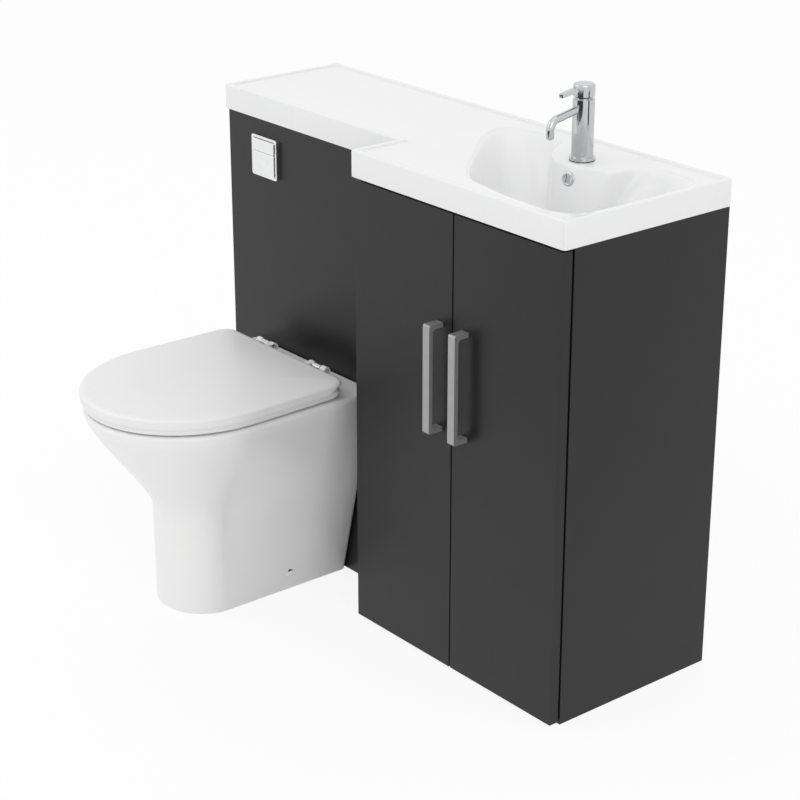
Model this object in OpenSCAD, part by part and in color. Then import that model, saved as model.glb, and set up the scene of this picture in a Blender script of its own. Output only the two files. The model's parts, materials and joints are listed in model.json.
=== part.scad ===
// Toilet and basin combination unit: a back-to-wall pan on a slim cistern
// cabinet, beside a two-door vanity, under one L-shaped basin top.
// Millimetres. X to the right, Y to the wall (wall plane y = 0), Z up from
// the floor. x = 0 is the joint between the two cabinets.

/* [Cabinets] */
// Height of both carcasses, floor to the underside of the top
unit_h = 810; // [760:5:880]
// Thickness of the carcass boards
board = 18; // [15:1:22]
// Width of the cistern cabinet
wc_w = 500; // [480:5:650]
// Depth of the cistern cabinet over its front panel
wc_d = 255; // [245:5:290]
// Width of the vanity
vanity_w = 500; // [490:5:700]
// Depth of the vanity over its doors
vanity_d = 355; // [345:5:420]
// Underside of the vanity's floor board above the room's floor
base_lift = 60; // [40:5:110]
// Thickness of the vanity's back panel
back_t = 8; // [6:1:12]
// Service gap behind the vanity's back panel
back_gap = 45; // [40:5:60]
// Height of the rails that tie the sides together
rail_h = 56; // [45:1:60]
// Height of the shelf's underside above the floor
shelf_z = 330; // [250:5:380]
// Radius of a shelf pin
shelf_pin_r = 2.5; // [2:0.5:4]

/* [Doors] */
// Thickness of a door
door_t = 18; // [16:1:22]
// Space between the doors and the carcass front, held by the buffers
door_stand = 3; // [3:0.5:5]
// Set-back of each door's outer edge from the cabinet's side
door_reveal = 1.5; // [1:0.5:3]
// Gap between the two doors
door_gap = 3; // [2:0.5:5]
// Gap under the doors
door_lift = 5; // [3:1:12]
// Gap between the doors and the top
door_drop = 5; // [3:1:10]
// Radius of the hinge cup
cup_r = 17.5; // [17.5:0.5:20]
// Depth of the hinge cup in the door
cup_deep = 12; // [11.5:0.5:13]
// Distance from the door's edge to the cup's bore
cup_edge = 3.9; // [3.7:0.1:4.3]
// Distance from the floor board and from the top rail to a hinge's centre
hinge_inset = 40; // [30:1:70]
// Radius of the hinge pin
hinge_pin_r = 1; // [0.8:0.1:1.1]

/* [Handles] */
// Length of a bar handle
handle_len = 188; // [128:1:320]
// Width of the bar, seen from the front
handle_w = 16; // [10:1:22]
// Thickness of the bar
handle_t = 8; // [5:0.5:12]
// Finger space behind the bar
handle_space = 21; // [18:1:35]
// Distance from the line between the doors to a handle's centre
handle_side = 31; // [22:1:45]
// Height of the handles' centre
handle_z = 526; // [450:2:620]

/* [Basin top] */
// Height of the top's edge band
top_t = 45; // [35:1:60]
// Thickness of the moulded skin of the top
top_skin = 12; // [9:1:14]
// Thickness of the edge band
band_t = 15; // [12:1:17]
// Overhang of the top past the doors, panel and sides
overhang = 5; // [3:1:7]
// Height of the raised edge round the top
lip_h = 3; // [2:0.5:5]
// Width of the raised edge
lip_w = 13; // [8:1:13]
// Corner radius of the top in plan
top_r = 7; // [4:1:12]
// Depth of the bowl under the deck
bowl_depth = 112; // [95:1:125]
// Wall thickness of the bowl
bowl_wall = 8; // [6:1:9]
// Distance from the vanity's left side to the bowl
bowl_left = 42; // [35:1:60]
// Distance from the bowl to the vanity's right side
bowl_right = 16; // [15:1:30]
// Reach of the bowl's rim forward over the front rail
bowl_front = 21; // [14:1:21]
// Distance from the bowl to the wall
bowl_back = 42; // [38:1:50]
// Width of the flat in the bottom of the bowl
flat_w = 170; // [120:5:200]
// Depth of the flat in the bottom of the bowl
flat_d = 96; // [90:2:120]
// Distance from the vanity's right side to the waste
waste_side = 205; // [180:5:240]
// Distance from the wall to the waste
waste_y = 208; // [200:2:216]
// Radius of the hole for the waste
waste_hole_r = 22.5; // [21.5:0.5:24]
// Radius of the overflow hole
overflow_r = 11.5; // [8:0.5:12]
// Depth of the overflow hole's centre under the deck
overflow_drop = 24; // [19:1:26]

/* [Tap] */
// Distance from the vanity's right side to the tap
tap_side = 229; // [205:2:237]
// Distance from the wall to the tap
tap_y = 102; // [96:1:106]
// Radius of the tap's column
tap_r = 18; // [17:0.5:22]
// Height of the fixed part of the column
tap_h = 100; // [98:1:150]
// Height of the turning cap
cap_h = 24; // [20:1:32]
// Height of the spout's root above the deck
spout_z = 86; // [72:1:87]
// Reach of the spout from the column's axis
spout_reach = 72; // [70:1:130]
// Radius of the spout
spout_r = 6.5; // [6:0.5:9]
// Drop of the spout's sloping part, in degrees
spout_slope = 11; // [0:1:15]
// Bend radius of the spout's end
spout_bend = 16; // [14:1:30]
// Length of the spout's upright mouth
spout_mouth = 13; // [3:1:16]
// Length of the lever from the column's axis
lever_len = 54; // [50:1:90]
// Radius of the tap's hole in the deck
tap_hole_r = 17.5; // [16:0.5:18]

/* [Flush plate] */
// Side of the square flush plate
plate_side = 75; // [70:1:90]
// Distance from the cabinet's left side to the plate's centre
plate_x = 119; // [80:1:160]
// Distance from the top's underside to the plate's centre
plate_drop = 67; // [64:1:110]
// Depth of the plate in front of the panel
plate_t = 8; // [8:0.5:10]
// Travel of the flush buttons
press = 4.5; // [3:0.5:5]
// Radius of the button's barrel through the panel
barrel_r = 24; // [22:0.5:26]

/* [Cistern] */
// Width of the cistern
cistern_w = 370; // [300:5:390]
// Depth of the cistern
cistern_d = 130; // [110:5:150]
// Height of the cistern's body
cistern_h = 270; // [220:5:285]
// Underside of the cistern above the floor
cistern_z = 460; // [440:5:470]
// Wall thickness of the cistern
cistern_wall = 4; // [3:0.5:6]
// Radius of the flush pipe
flush_r = 20; // [18:0.5:22]
// Height of the flush pipe where it enters the pan
flush_z = 318; // [310:1:325]

/* [Pan] */
// Height of the ceramic pan
pan_h = 385; // [370:1:400]
// Width of the pan at its rim
pan_w = 360; // [340:2:380]
// Length of the pan in front of the cabinet
pan_len = 463; // [450:1:500]
// Width of the pan's foot near its front
foot_w = 172; // [160:2:200]
// Width of the pan's foot at the cabinet
foot_back_w = 176; // [168:2:260]
// Set-back of the foot's front behind the rim's front
foot_back = 120; // [100:1:124]
// Height to which the foot rises straight
foot_h = 180; // [150:5:190]
// Thickness of the ceramic
china = 10; // [8:0.5:12]
// Distance of the bowl's centre in front of the cabinet
bowl_y = 265; // [262:1:270]
// Height of the bottom of the bowl
sump_z = 142; // [138:1:150]
// Bore radius of the trap
trap_r = 38; // [36:0.5:40]
// Bend radius of the trap
trap_bend = 55; // [53:1:58]
// Radius of the pan's outlet spigot
outlet_r = 51; // [50:0.5:52]

/* [Seat] */
// Thickness of the seat
seat_t = 18.5; // [14:0.5:20]
// Height of the buffers under the seat
seat_gap = 4; // [3:0.5:5]
// Space between the seat and the lid's underside
lid_gap = 5; // [4:0.5:6]
// Wall thickness of the lid
lid_wall = 4; // [3:0.5:5]
// Height of the lid's edge
lid_t = 19; // [16:0.5:22]
// Distance that the lid stands past the pan's rim
lid_over = 4; // [2:0.5:8]
// Distance from the cabinet to the seat's hinge axis
hinge_y = 50; // [49:1:58]
// Radius of the seat's hinge pins
seat_pin_r = 4; // [3.5:0.5:4.5]
// Distance of each hinge post from the pan's centre line
post_x = 78; // [70:1:84]
// Clear width of the opening in the seat
seat_hole_w = 226; // [200:2:240]
// Clear length of the opening in the seat
seat_hole_l = 268; // [240:2:280]

/* [Waste] */
// Radius of the waste's flange
flange_r = 31; // [29:0.5:34]
// Radius of the waste's threaded body
waste_r = 20.9; // [19:0.1:21]
// Length of the waste under the bowl's bottom
waste_len = 78; // [70:1:90]
// Height by which the plug rises when it opens
plug_lift = 8; // [5:0.5:10]
// Radius of the bottle of the trap
bottle_r = 30; // [27:1:36]
// Height of the bottle of the trap
bottle_h = 84; // [70:2:90]
// Radius of the waste pipe
pipe_r = 16; // [15:0.5:20]

/* [Hidden] */
e = 0.01;            // overlap that joins or opens solids cleanly
run = 0.05;          // radial clearance of a running fit
white = [0.96, 0.96, 0.96];
dark = [0.27, 0.27, 0.28];
inside = [0.78, 0.78, 0.77];
chrome = [0.80, 0.81, 0.83];
steel = [0.62, 0.63, 0.64];
rubber = [0.13, 0.13, 0.13];
plastic = [0.88, 0.88, 0.86];

carcass_d = vanity_d - door_t - door_stand;    // front plane of the vanity's carcass
panel_back = wc_d - board;                     // back face of the cistern cabinet's panel
in_w = vanity_w - 2 * board;                   // clear width inside the vanity
deck_z = unit_h + top_t - lip_h;               // deck of the basin top
skin_z = deck_z - top_skin;                    // underside of the deck
top_x0 = -wc_w - overhang;
top_x1 = vanity_w + overhang;

// ---------- shared shapes ----------

// rectangle with true round corners, from corner a to corner b
module round_rect(a, b, r) {
  translate([a.x + r, a.y]) square([b.x - a.x - 2 * r, b.y - a.y]);
  translate([a.x, a.y + r]) square([b.x - a.x, b.y - a.y - 2 * r]);
  for (x = [a.x + r, b.x - r], y = [a.y + r, b.y - r]) translate([x, y]) circle(r, $fn = 48);
}

// box from corner a to corner b
module box(a, b) translate(a) cube(b - a);

// cylinder of radius r from z0 to z1
module rod(r, z0, z1, fn = 64) translate([0, 0, z0]) cylinder(r = r, h = z1 - z0, $fn = fn);

// cylinder along Y, from y0 towards y1 (y0 < y1)
module rod_y(r, y0, y1, fn = 64) translate([0, y0, 0]) rotate([-90, 0, 0])
  cylinder(r = r, h = y1 - y0, $fn = fn);

// cylinder along X
module rod_x(r, x0, x1, fn = 64) translate([x0, 0, 0]) rotate([0, 90, 0])
  cylinder(r = r, h = x1 - x0, $fn = fn);

// closed solid through a stack of rings with equal point counts, bottom ring first
module skin(rings) {
  n = len(rings[0]);
  m = len(rings);
  pts = [for (r = rings) for (p = r) p];
  sides = [for (j = [0:m - 2]) for (i = [0:n - 1]) let (a = j * n + i, b = j * n + (i + 1) % n)
    each [[a, a + n, b + n], [a, b + n, b]]];
  polyhedron(pts, concat([[for (i = [0:n - 1]) i]], sides,
    [[for (i = [n - 1:-1:0]) (m - 1) * n + i]]), convexity = 8);
}

// closed ring-shaped solid: a cross-section carried round, one list of points per station
module hoop(rings) {
  n = len(rings[0]);
  m = len(rings);
  pts = [for (r = rings) for (p = r) p];
  polyhedron(pts, [for (j = [0:m - 1]) for (i = [0:n - 1])
    let (a = j * n + i, b = j * n + (i + 1) % n, c = ((j + 1) % m) * n + i,
         d = ((j + 1) % m) * n + (i + 1) % n)
    each [[a, b, d], [a, d, c]]], convexity = 8);
}

function mix(a, b, t) = a + (b - a) * t;
function unit(v) = v / max(norm(v), 1e-6);
// smooth curve through p1 and p2, with p0 and p3 as its neighbours
function curve(p0, p1, p2, p3, t) = 0.5 * (2 * p1 + (p2 - p0) * t
  + (2 * p0 - 5 * p1 + 4 * p2 - p3) * t * t + (3 * p1 - p0 - 3 * p2 + p3) * t * t * t);

// ---------- vanity carcass ----------

module side_panel(x, d, pins = false) difference() {
  box([x, -d, 0], [x + board, 0, unit_h]);
  if (pins) for (p = shelf_pin_at) translate([0, p, shelf_z - shelf_pin_drop])
    rod_x(shelf_pin_r + run, x < 1 ? board - 9 : x - 1, x < 1 ? board + 1 : x + 9, 32);
}
shelf_pin_drop = 5;                       // from the shelf's underside to a pin's centre
shelf_pin_at = [-carcass_d + 45, -back_gap - back_t - 40];

module vanity_side_left() color(dark) side_panel(0, carcass_d, true);
module vanity_side_right() color(dark) side_panel(vanity_w - board, carcass_d, true);

module vanity_base() color(inside)
  box([board, -carcass_d, base_lift], [vanity_w - board, -back_gap, base_lift + board]);

module vanity_toe_rail() color(dark)
  box([board, -carcass_d, 0], [vanity_w - board, -carcass_d + board, base_lift]);

rail_hole_r = 3.25;
rail_hole_x = 60;    // from each end of a rail to its wall screw
module vanity_rails() color(inside) {
  box([board, -carcass_d, unit_h - rail_h], [vanity_w - board, -carcass_d + board, unit_h]);
  difference() {
    box([board, -board, unit_h - rail_h], [vanity_w - board, 0, unit_h]);
    for (x = [board + rail_hole_x, vanity_w - board - rail_hole_x])
      translate([x, 0, unit_h - rail_h / 2]) rod_y(rail_hole_r, -board - 1, 1, 32);
  }
}

service_w = in_w * 0.6;                    // pipe opening in the back panel
service_z = [shelf_z + board + 60, unit_h - rail_h - 30];
module vanity_back_panel() color(inside) difference() {
  box([board, -back_gap - back_t, base_lift + board], [vanity_w - board, -back_gap, unit_h]);
  box([vanity_w / 2 - service_w / 2, -back_gap - back_t - 1, service_z[0]],
      [vanity_w / 2 + service_w / 2, -back_gap + 1, service_z[1]]);
}

module vanity_shelf() color(inside)
  box([board + 1, -carcass_d + 12, shelf_z], [vanity_w - board - 1, -back_gap - back_t - 2, shelf_z + board]);

module shelf_pins() color(steel)
  for (m = [0, 1], y = shelf_pin_at) translate([m * vanity_w, y, shelf_z - shelf_pin_drop])
    mirror([m, 0, 0]) {
      rod_x(shelf_pin_r, board - 8.5, board + 1, 32);
      rod_x(shelf_pin_r + 2, board, board + 1.5, 32);
      box([board + 1, -5, shelf_pin_drop - 2], [board + 12, 5, shelf_pin_drop]);
    }

// ---------- door hinges ----------
// Each hinge turns on a pin inside its hollow cup. The goose-neck arm hooks round
// the strip of door between the cup and the door's edge, so the door clears the
// cabinet's side through its whole swing.

pin_in = cup_edge + 3.4;                  // from the door's edge to the hinge pin
pin_deep = cup_deep - 3.5;                // from the door's inner face to the hinge pin
hinge_z = [base_lift + board + hinge_inset, unit_h - rail_h - hinge_inset];
hinge_x = door_reveal + pin_in;           // the pin's axis, from the cabinet's side
hinge_py = -carcass_d - door_stand - pin_deep;
arm_w = 8;                                // width of the arm along the pin
barrel = hinge_pin_r + 0.8;               // radius of the arm's barrel

module hinge_arm() {
  neck = board + 1.9 - hinge_x + 1;       // the neck passes just inside the cabinet's side
  rise = pin_deep + door_stand + 5;
  difference() {
    translate([0, 0, -arm_w / 2]) linear_extrude(arm_w) {
      circle(barrel, $fn = 32);
      polygon([[0, -1], [neck - 0.5, -1.5], [neck + 1.5, 0.5], [neck + 1.5, rise],
        [neck - 0.5, rise], [neck - 0.5, 1.6], [neck - 1.3, 0.6], [0, 1]]);
    }
    rod(hinge_pin_r + run, -arm_w, arm_w, 32);
  }
  // arm channel and mounting plate on the cabinet's side
  back = rise + 52;
  wall = board - hinge_x;
  difference() {
    box([neck - 0.5, rise - 1, -arm_w / 2], [neck + 8, back, arm_w / 2]);
    box([neck + 1.5, rise - 2, -arm_w / 2 + 2], [neck + 6.5, back + 1, arm_w / 2 - 2]);
  }
  box([wall, rise + 6, -arm_w / 2], [neck, back - 2, arm_w / 2]);
  difference() {
    box([wall, rise + 20, -26], [wall + 2.2, rise + 36, 26]);
    for (z = [-19, 19]) translate([0, rise + 28, z]) rod_x(2.2, wall - 1, wall + 4, 24);
  }
}

module hinge_arms() color(steel)
  for (m = [0, 1], z = hinge_z) translate([m * vanity_w, hinge_py, z])
    mirror([m, 0, 0]) translate([hinge_x, 0, 0]) hinge_arm();

module cups() for (z = hinge_z) translate([door_reveal + cup_edge + cup_r, -carcass_d - door_stand, z]) {
  difference() {
    union() {
      rod_y(cup_r - 0.05, -cup_deep + 0.1, e, 64);
      rotate([-90, 0, 0]) linear_extrude(1)
        round_rect([-cup_r - 1.2, -28], [cup_r + 1.2, 28], 5);
    }
    rod_y(cup_r - 0.85, -cup_deep + 0.9, 2, 64);
    for (k = [-1, 1]) translate([0, 0, k * 23]) rod_y(1.6, -1, 2, 24);
  }
  px = pin_in - cup_edge - cup_r;
  half = sqrt(pow(cup_r - 0.1, 2) - pow(abs(px) + hinge_pin_r, 2));
  translate([px, -pin_deep, 0]) rod(hinge_pin_r, -half, half, 32);
}

module hinge_cups_left() color(steel) cups();
module hinge_cups_right() color(steel) translate([vanity_w, 0, 0]) mirror([1, 0, 0]) cups();

// ---------- doors and handles ----------

door_w = vanity_w / 2 - door_gap / 2 - door_reveal;
handle_x = vanity_w / 2 - handle_side;
handle_ends = [handle_z - handle_len / 2 + handle_t / 2, handle_z + handle_len / 2 - handle_t / 2];
screw_r = 2;

module door() difference() {
  box([door_reveal, -vanity_d, door_lift], [door_reveal + door_w, -vanity_d + door_t, unit_h - door_drop]);
  for (z = hinge_z) translate([door_reveal + cup_edge + cup_r, 0, z])
    rod_y(cup_r, -carcass_d - door_stand - cup_deep, -carcass_d, 64);
  for (z = handle_ends) translate([handle_x, 0, z])
    rod_y(screw_r + 0.25, -vanity_d - 1, -carcass_d, 32);
}
module door_left() color(dark) door();
module door_right() color(dark) translate([vanity_w, 0, 0]) mirror([1, 0, 0]) door();

// flat bar bent back to the door at both ends, with a generous inner bend
module handle() difference() {
  translate([handle_x - handle_w / 2, -vanity_d, handle_z]) rotate([90, 0, 90])
    linear_extrude(handle_w) difference() {
      round_rect([-handle_space - handle_t, -handle_len / 2], [4, handle_len / 2], 4);
      round_rect([-handle_space, -handle_len / 2 + handle_t], [20, handle_len / 2 - handle_t], 7);
      translate([0, -handle_len]) square([10, 2 * handle_len]);
    }
  for (z = handle_ends) translate([handle_x, 0, z]) rod_y(screw_r + run, -vanity_d - 14, -vanity_d + 1, 32);
}
module handle_left() color(chrome) handle();
module handle_right() color(chrome) translate([vanity_w, 0, 0]) mirror([1, 0, 0]) handle();

module handle_screws() for (z = handle_ends) translate([handle_x, 0, z]) {
  rod_y(screw_r, -vanity_d - 10, -vanity_d + door_t + e, 32);
  rod_y(4, -vanity_d + door_t, -vanity_d + door_t + 2.2, 32);
}
module handle_screws_left() color(steel) handle_screws();
module handle_screws_right() color(steel) translate([vanity_w, 0, 0]) mirror([1, 0, 0]) handle_screws();

// soft buffers that meet the carcass when a door shuts
module buffers() for (z = [base_lift + board / 2, unit_h - rail_h / 2])
  translate([vanity_w / 2 - 14, 0, z]) rod_y(5, -carcass_d - door_stand, -carcass_d - 0.1, 32);
module door_buffers_left() color(plastic) buffers();
module door_buffers_right() color(plastic) translate([vanity_w, 0, 0]) mirror([1, 0, 0]) buffers();

// ---------- cistern cabinet ----------

pan_x = -wc_w / 2;                         // the pan stands on the cabinet's centre line
plate_at = [-wc_w + plate_x, -wc_d, unit_h - plate_drop];
outlet_z = sump_z - 37 + trap_bend + 25;   // the trap's outlet

module wc_side_left() color(dark) side_panel(-wc_w, panel_back);
module wc_side_right() color(dark) side_panel(-board, panel_back);

panel_gap = 1.5;
module wc_front_panel() color(dark) difference() {
  box([-wc_w + panel_gap, -wc_d, 2], [-panel_gap, -panel_back, unit_h]);
  translate([plate_at.x, 0, plate_at.z]) rod_y(barrel_r + 1, -wc_d - 1, 0);
  translate([pan_x, 0, flush_z]) rod_y(flush_r + 11, -wc_d - 1, 0);
  translate([pan_x, 0, outlet_z]) rod_y(outlet_r + 14, -wc_d - 1, 0);
}

module wc_rails() color(inside) {
  x0 = -wc_w + board;
  difference() {
    box([x0, -board, unit_h - rail_h], [-board, 0, unit_h]);
    for (x = [x0 + rail_hole_x, -board - rail_hole_x])
      translate([x, 0, unit_h - rail_h / 2]) rod_y(rail_hole_r, -board - 1, 1, 32);
  }
  box([x0, -panel_back, 2], [-board, -panel_back + board, 70]);
  box([x0, -board, 2], [-board, 0, 70]);
}

// corner blocks that hold the front panel to the sides
module panel_clips() color(plastic)
  for (m = [0, 1], z = [unit_h * 0.24, unit_h * 0.6]) translate([m == 0 ? -wc_w + board : -board, -panel_back, z])
    mirror([m, 0, 0]) difference() {
      box([0, 0, 0], [22, 22, 40]);
      translate([4, 4, -1]) cube([30, 30, 42]);
    }

// ---------- cistern ----------

cist_y1 = -board;                           // back of the cistern, against its rail
cist_y0 = cist_y1 - cistern_d;
cist_top = cistern_z + cistern_h;
valve_y = (cist_y0 + cist_y1) / 2;
fill_x = pan_x - cistern_w / 2 + 38;

module cistern_rail() color(inside)
  box([-wc_w + board, -board, cistern_z + cistern_h * 0.55], [-board, 0, cistern_z + cistern_h * 0.8]);

module tank_plan(inset) translate([pan_x, 0])
  round_rect([-cistern_w / 2 + inset, cist_y0 + inset], [cistern_w / 2 - inset, cist_y1 - inset], 16 - inset);

module cistern_tank() color(plastic) difference() {
  translate([0, 0, cistern_z]) linear_extrude(cistern_h) tank_plan(0);
  translate([0, 0, cistern_z + cistern_wall]) linear_extrude(cistern_h) tank_plan(cistern_wall);
  translate([pan_x, valve_y, 0]) rod(flush_r + 7, cistern_z - 1, cistern_z + 20);
  translate([fill_x, valve_y, 0]) rod(11, cistern_z - 1, cistern_z + 20);
}

module cistern_lid() color(plastic) difference() {
  union() {
    translate([0, 0, cist_top]) linear_extrude(6) tank_plan(0);
    translate([0, 0, cist_top - 10]) linear_extrude(10 + e) difference() {
      tank_plan(cistern_wall + 0.4);
      tank_plan(cistern_wall + 3);
    }
  }
  translate([pan_x, valve_y, 0]) rod(24, cist_top - 20, cist_top + 20);
}

// flush valve: outlet thread, cage with windows, and two air nipples on its cap
module flush_valve() color(plastic) translate([pan_x, valve_y, 0]) difference() {
  union() {
    rod(flush_r + 6.6, cistern_z - 26, cistern_z + cistern_wall + e);
    rod(flush_r + 14, cistern_z + cistern_wall, cistern_z + cistern_wall + 4);
    rod(flush_r + 12, cistern_z - 20, cistern_z, 6);
    rod(23.5, cistern_z + cistern_wall + 3, cist_top + 12);
    for (k = [-1, 1]) translate([k * 10, 0, 0]) rod(2.5, cist_top + 10, cist_top + 26, 32);
  }
  rod(flush_r + 0.1, cistern_z - 27, cistern_z + 60);
  for (a = [0:60:300]) rotate([0, 0, a]) box([0, -6, cistern_z + 16], [30, 6, cistern_z + 58]);
  for (k = [-1, 1]) translate([k * 10, 0, 0]) rod(1.2, cist_top + 5, cist_top + 30, 24);
}

// fill valve: threaded tail, riser, float cup and inlet head
module fill_valve() color(plastic) translate([fill_x, valve_y, 0]) {
  difference() {
    union() {
      rod(10.4, cistern_z - 42, cistern_z + 10);
      rod(15, cistern_z + cistern_wall, cistern_z + cistern_wall + 4);
      rod(16, cistern_z - 12, cistern_z, 6);
      rod(8, cistern_z + 8, cist_top - 20);
    }
    rod(5, cistern_z - 43, cistern_z + 60);
  }
  difference() {
    rod(24, cistern_z + cistern_h * 0.5, cistern_z + cistern_h * 0.5 + 62);
    rod(21, cistern_z + cistern_h * 0.5 - 1, cistern_z + cistern_h * 0.5 + 58);
  }
  box([-8, -12, cist_top - 50], [44, 12, cist_top - 22]);
}

flush_bend = 48;
module flush_run(r) {
  translate([pan_x, valve_y, 0]) rod(r, flush_z + flush_bend, cistern_z + 2);
  translate([pan_x, valve_y - flush_bend, flush_z + flush_bend]) rotate([90, 0, 90])
    translate([0, 0, 0]) rotate_extrude(angle = 90, start = -90, $fn = 96)
      translate([flush_bend, 0]) circle(r, $fn = 48);
  translate([pan_x, 0, flush_z]) rod_y(r, -wc_d - inlet_deep + 2, valve_y - flush_bend);
}
module flush_pipe() color(plastic) difference() {
  flush_run(flush_r);
  flush_run(flush_r - 2);
  translate([pan_x, valve_y, 0]) rod(flush_r - 2, cistern_z, cistern_z + 4);
  translate([pan_x, 0, flush_z]) rod_y(flush_r - 2, -wc_d - inlet_deep, -wc_d);
}

// rubber cone that seals the flush pipe in the pan's inlet
module flush_cone() color(rubber) translate([pan_x, 0, flush_z]) difference() {
  union() {
    rod_y(inlet_r - run, -wc_d - china - 1, -wc_d + 2);
    rod_y(inlet_r + 3, -wc_d + 0, -wc_d + 14);
  }
  rod_y(flush_r, -wc_d - 40, 0);
}

// ---------- flush plate and buttons ----------

btn = plate_side - 10;                       // side of the opening for the buttons
split = 9.1;                                 // height of the line between the buttons
btn_gap = 0.6;

module at_plate() translate(plate_at) children();
// rounded square plate in the plane of the panel, from y0 to y1
module slab_y(a, b, r, y0, y1) translate([0, y1, 0]) rotate([90, 0, 0])
  linear_extrude(y1 - y0) round_rect(a, b, r);

module flush_plate() color(chrome) at_plate() difference() {
  slab_y([-plate_side / 2, -plate_side / 2], [plate_side / 2, plate_side / 2], 5, -plate_t, 0);
  slab_y([-btn / 2, -btn / 2], [btn / 2, btn / 2], 3, -plate_t - 1, 1);
}

housing_y = 1.4;
module button_housing() color(plastic) at_plate() difference() {
  union() {
    slab_y([-btn / 2, -btn / 2], [btn / 2, btn / 2], 3, -housing_y, 0);
    rod_y(barrel_r, -e, 44);
  }
  rod_y(barrel_r - 2.5, 4, 42);
  for (z = plunger_at) translate([0, 0, z]) {
    rod_y(3 + run, -3, 6, 32);
    rod_y(4, 40, 46, 32);
  }
}
plunger_at = [split + 4.5, -9];              // heights of the two plungers

module button_bellows() color(rubber) at_plate() for (z = plunger_at) translate([0, 0, z])
  difference() {
    union() {
      for (k = [0:3]) translate([0, 23 + 4 * k, 0]) {
        rod_y(7, 0, 2.4, 48);
        rod_y(5.6, 2.4 - e, 4 + e, 48);
      }
      rod_y(7, 39, 42, 48);
      rod_y(2.5, 42 - e, 56, 32);
    }
    rod_y(1.2, 36, 57, 24);
  }

module button_nut() color(plastic) at_plate() difference() {
  rod_y(barrel_r + 8, board, board + 9, 8);
  rod_y(barrel_r + 0, 0, 60);
}

// a button cap with a hollow back and a plunger that runs in the housing
module button(z0, z1, pz) color(chrome) at_plate() {
  difference() {
    slab_y([-btn / 2 + btn_gap, z0], [btn / 2 - btn_gap, z1], 2.5, -plate_t - 2, -housing_y - press - 0.4);
    slab_y([-btn / 2 + 4, z0 + 3], [btn / 2 - 4, z1 - 3], 2, -plate_t, -housing_y - press + 1);
  }
  translate([0, 0, pz]) rod_y(3, -plate_t - 1, 22.5 - press, 32);
}
module button_half() button(split + btn_gap / 2, btn / 2 - btn_gap, plunger_at[0]);
module button_full() button(-btn / 2 + btn_gap, split - btn_gap / 2, plunger_at[1]);

// ---------- basin top ----------

module top_plan(i) {
  round_rect([top_x0 + i, -wc_d - overhang + i], [top_x1 - i, -i], max(top_r - i, 1));
  round_rect([-overhang + i, -vanity_d - overhang + i], [top_x1 - i, -i], max(top_r - i, 1));
}

waste_at = [vanity_w - waste_side, -waste_y];
tap_at = [vanity_w - tap_side, -tap_y];
bx0 = bowl_left;
bx1 = vanity_w - bowl_right;
by0 = -carcass_d + board + bowl_wall - bowl_front;
by1 = -bowl_back;
// the bowl's rim in plan, as shares of its box: a diagonal left side, a full right side
// and a ledge that carries the tap at the back
ledge_front = -tap_y - tap_r - 14;
ledge = (tap_at.x - bx0) / (bx1 - bx0);
ledge_y = (ledge_front - by0) / (by1 - by0);
flank = 106 / (bx1 - bx0);
rim_marks = [[0.40, 0.11], [0.58, 0.03], [0.78, 0.0], [0.92, 0.015], [0.985, 0.11],
  [1.0, 0.36], [1.0, 0.70], [0.985, 0.92], [0.90, 0.99], [ledge + flank, 0.97],
  [ledge + 0.62 * flank, ledge_y + 0.09], [ledge, ledge_y], [ledge - 0.62 * flank, ledge_y + 0.09],
  [ledge - flank, 0.97], [0.17, 1.0], [0.05, 0.97], [0.0, 0.86], [0.07, 0.66], [0.21, 0.40]];
rim_n = len(rim_marks);
rim = [for (i = [0:rim_n - 1]) for (t = [0, 1 / 3, 2 / 3])
  let (p = curve(rim_marks[(i + rim_n - 1) % rim_n], rim_marks[i], rim_marks[(i + 1) % rim_n],
                 rim_marks[(i + 2) % rim_n], t))
  [mix(bx0, bx1, p.x), mix(by0, by1, p.y)]];
bottom = [for (p = rim) let (a = atan2((p.y - waste_at.y) * 1.6, p.x - waste_at.x))
  waste_at + [flat_w / 2 * cos(a), flat_d / 2 * sin(a)]];
// the bowl's wall: [share of the way to the flat bottom, share of the depth, roll of the rim]
wall_marks = [[1, 1, 0], [0.90, 0.965, 0], [0.76, 0.87, 0], [0.58, 0.70, 0], [0.40, 0.47, 0],
  [0.22, 0.23, 0], [0.07, 0.06, 0], [0, 0.018, 1.2], [0, 0, 4]];
// a ring of the wall at height z, moved outwards square to its outline
function bowl_ring(w, out, z) = let (q = [for (i = [0:len(rim) - 1]) mix(rim[i], bottom[i], w[0])], n = len(q))
  [for (i = [0:n - 1]) let (t = q[(i + 1) % n] - q[(i + n - 1) % n], d = unit([t.y, -t.x]) * (out + w[2]))
    [q[i].x + d.x, q[i].y + d.y, z]];

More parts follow.
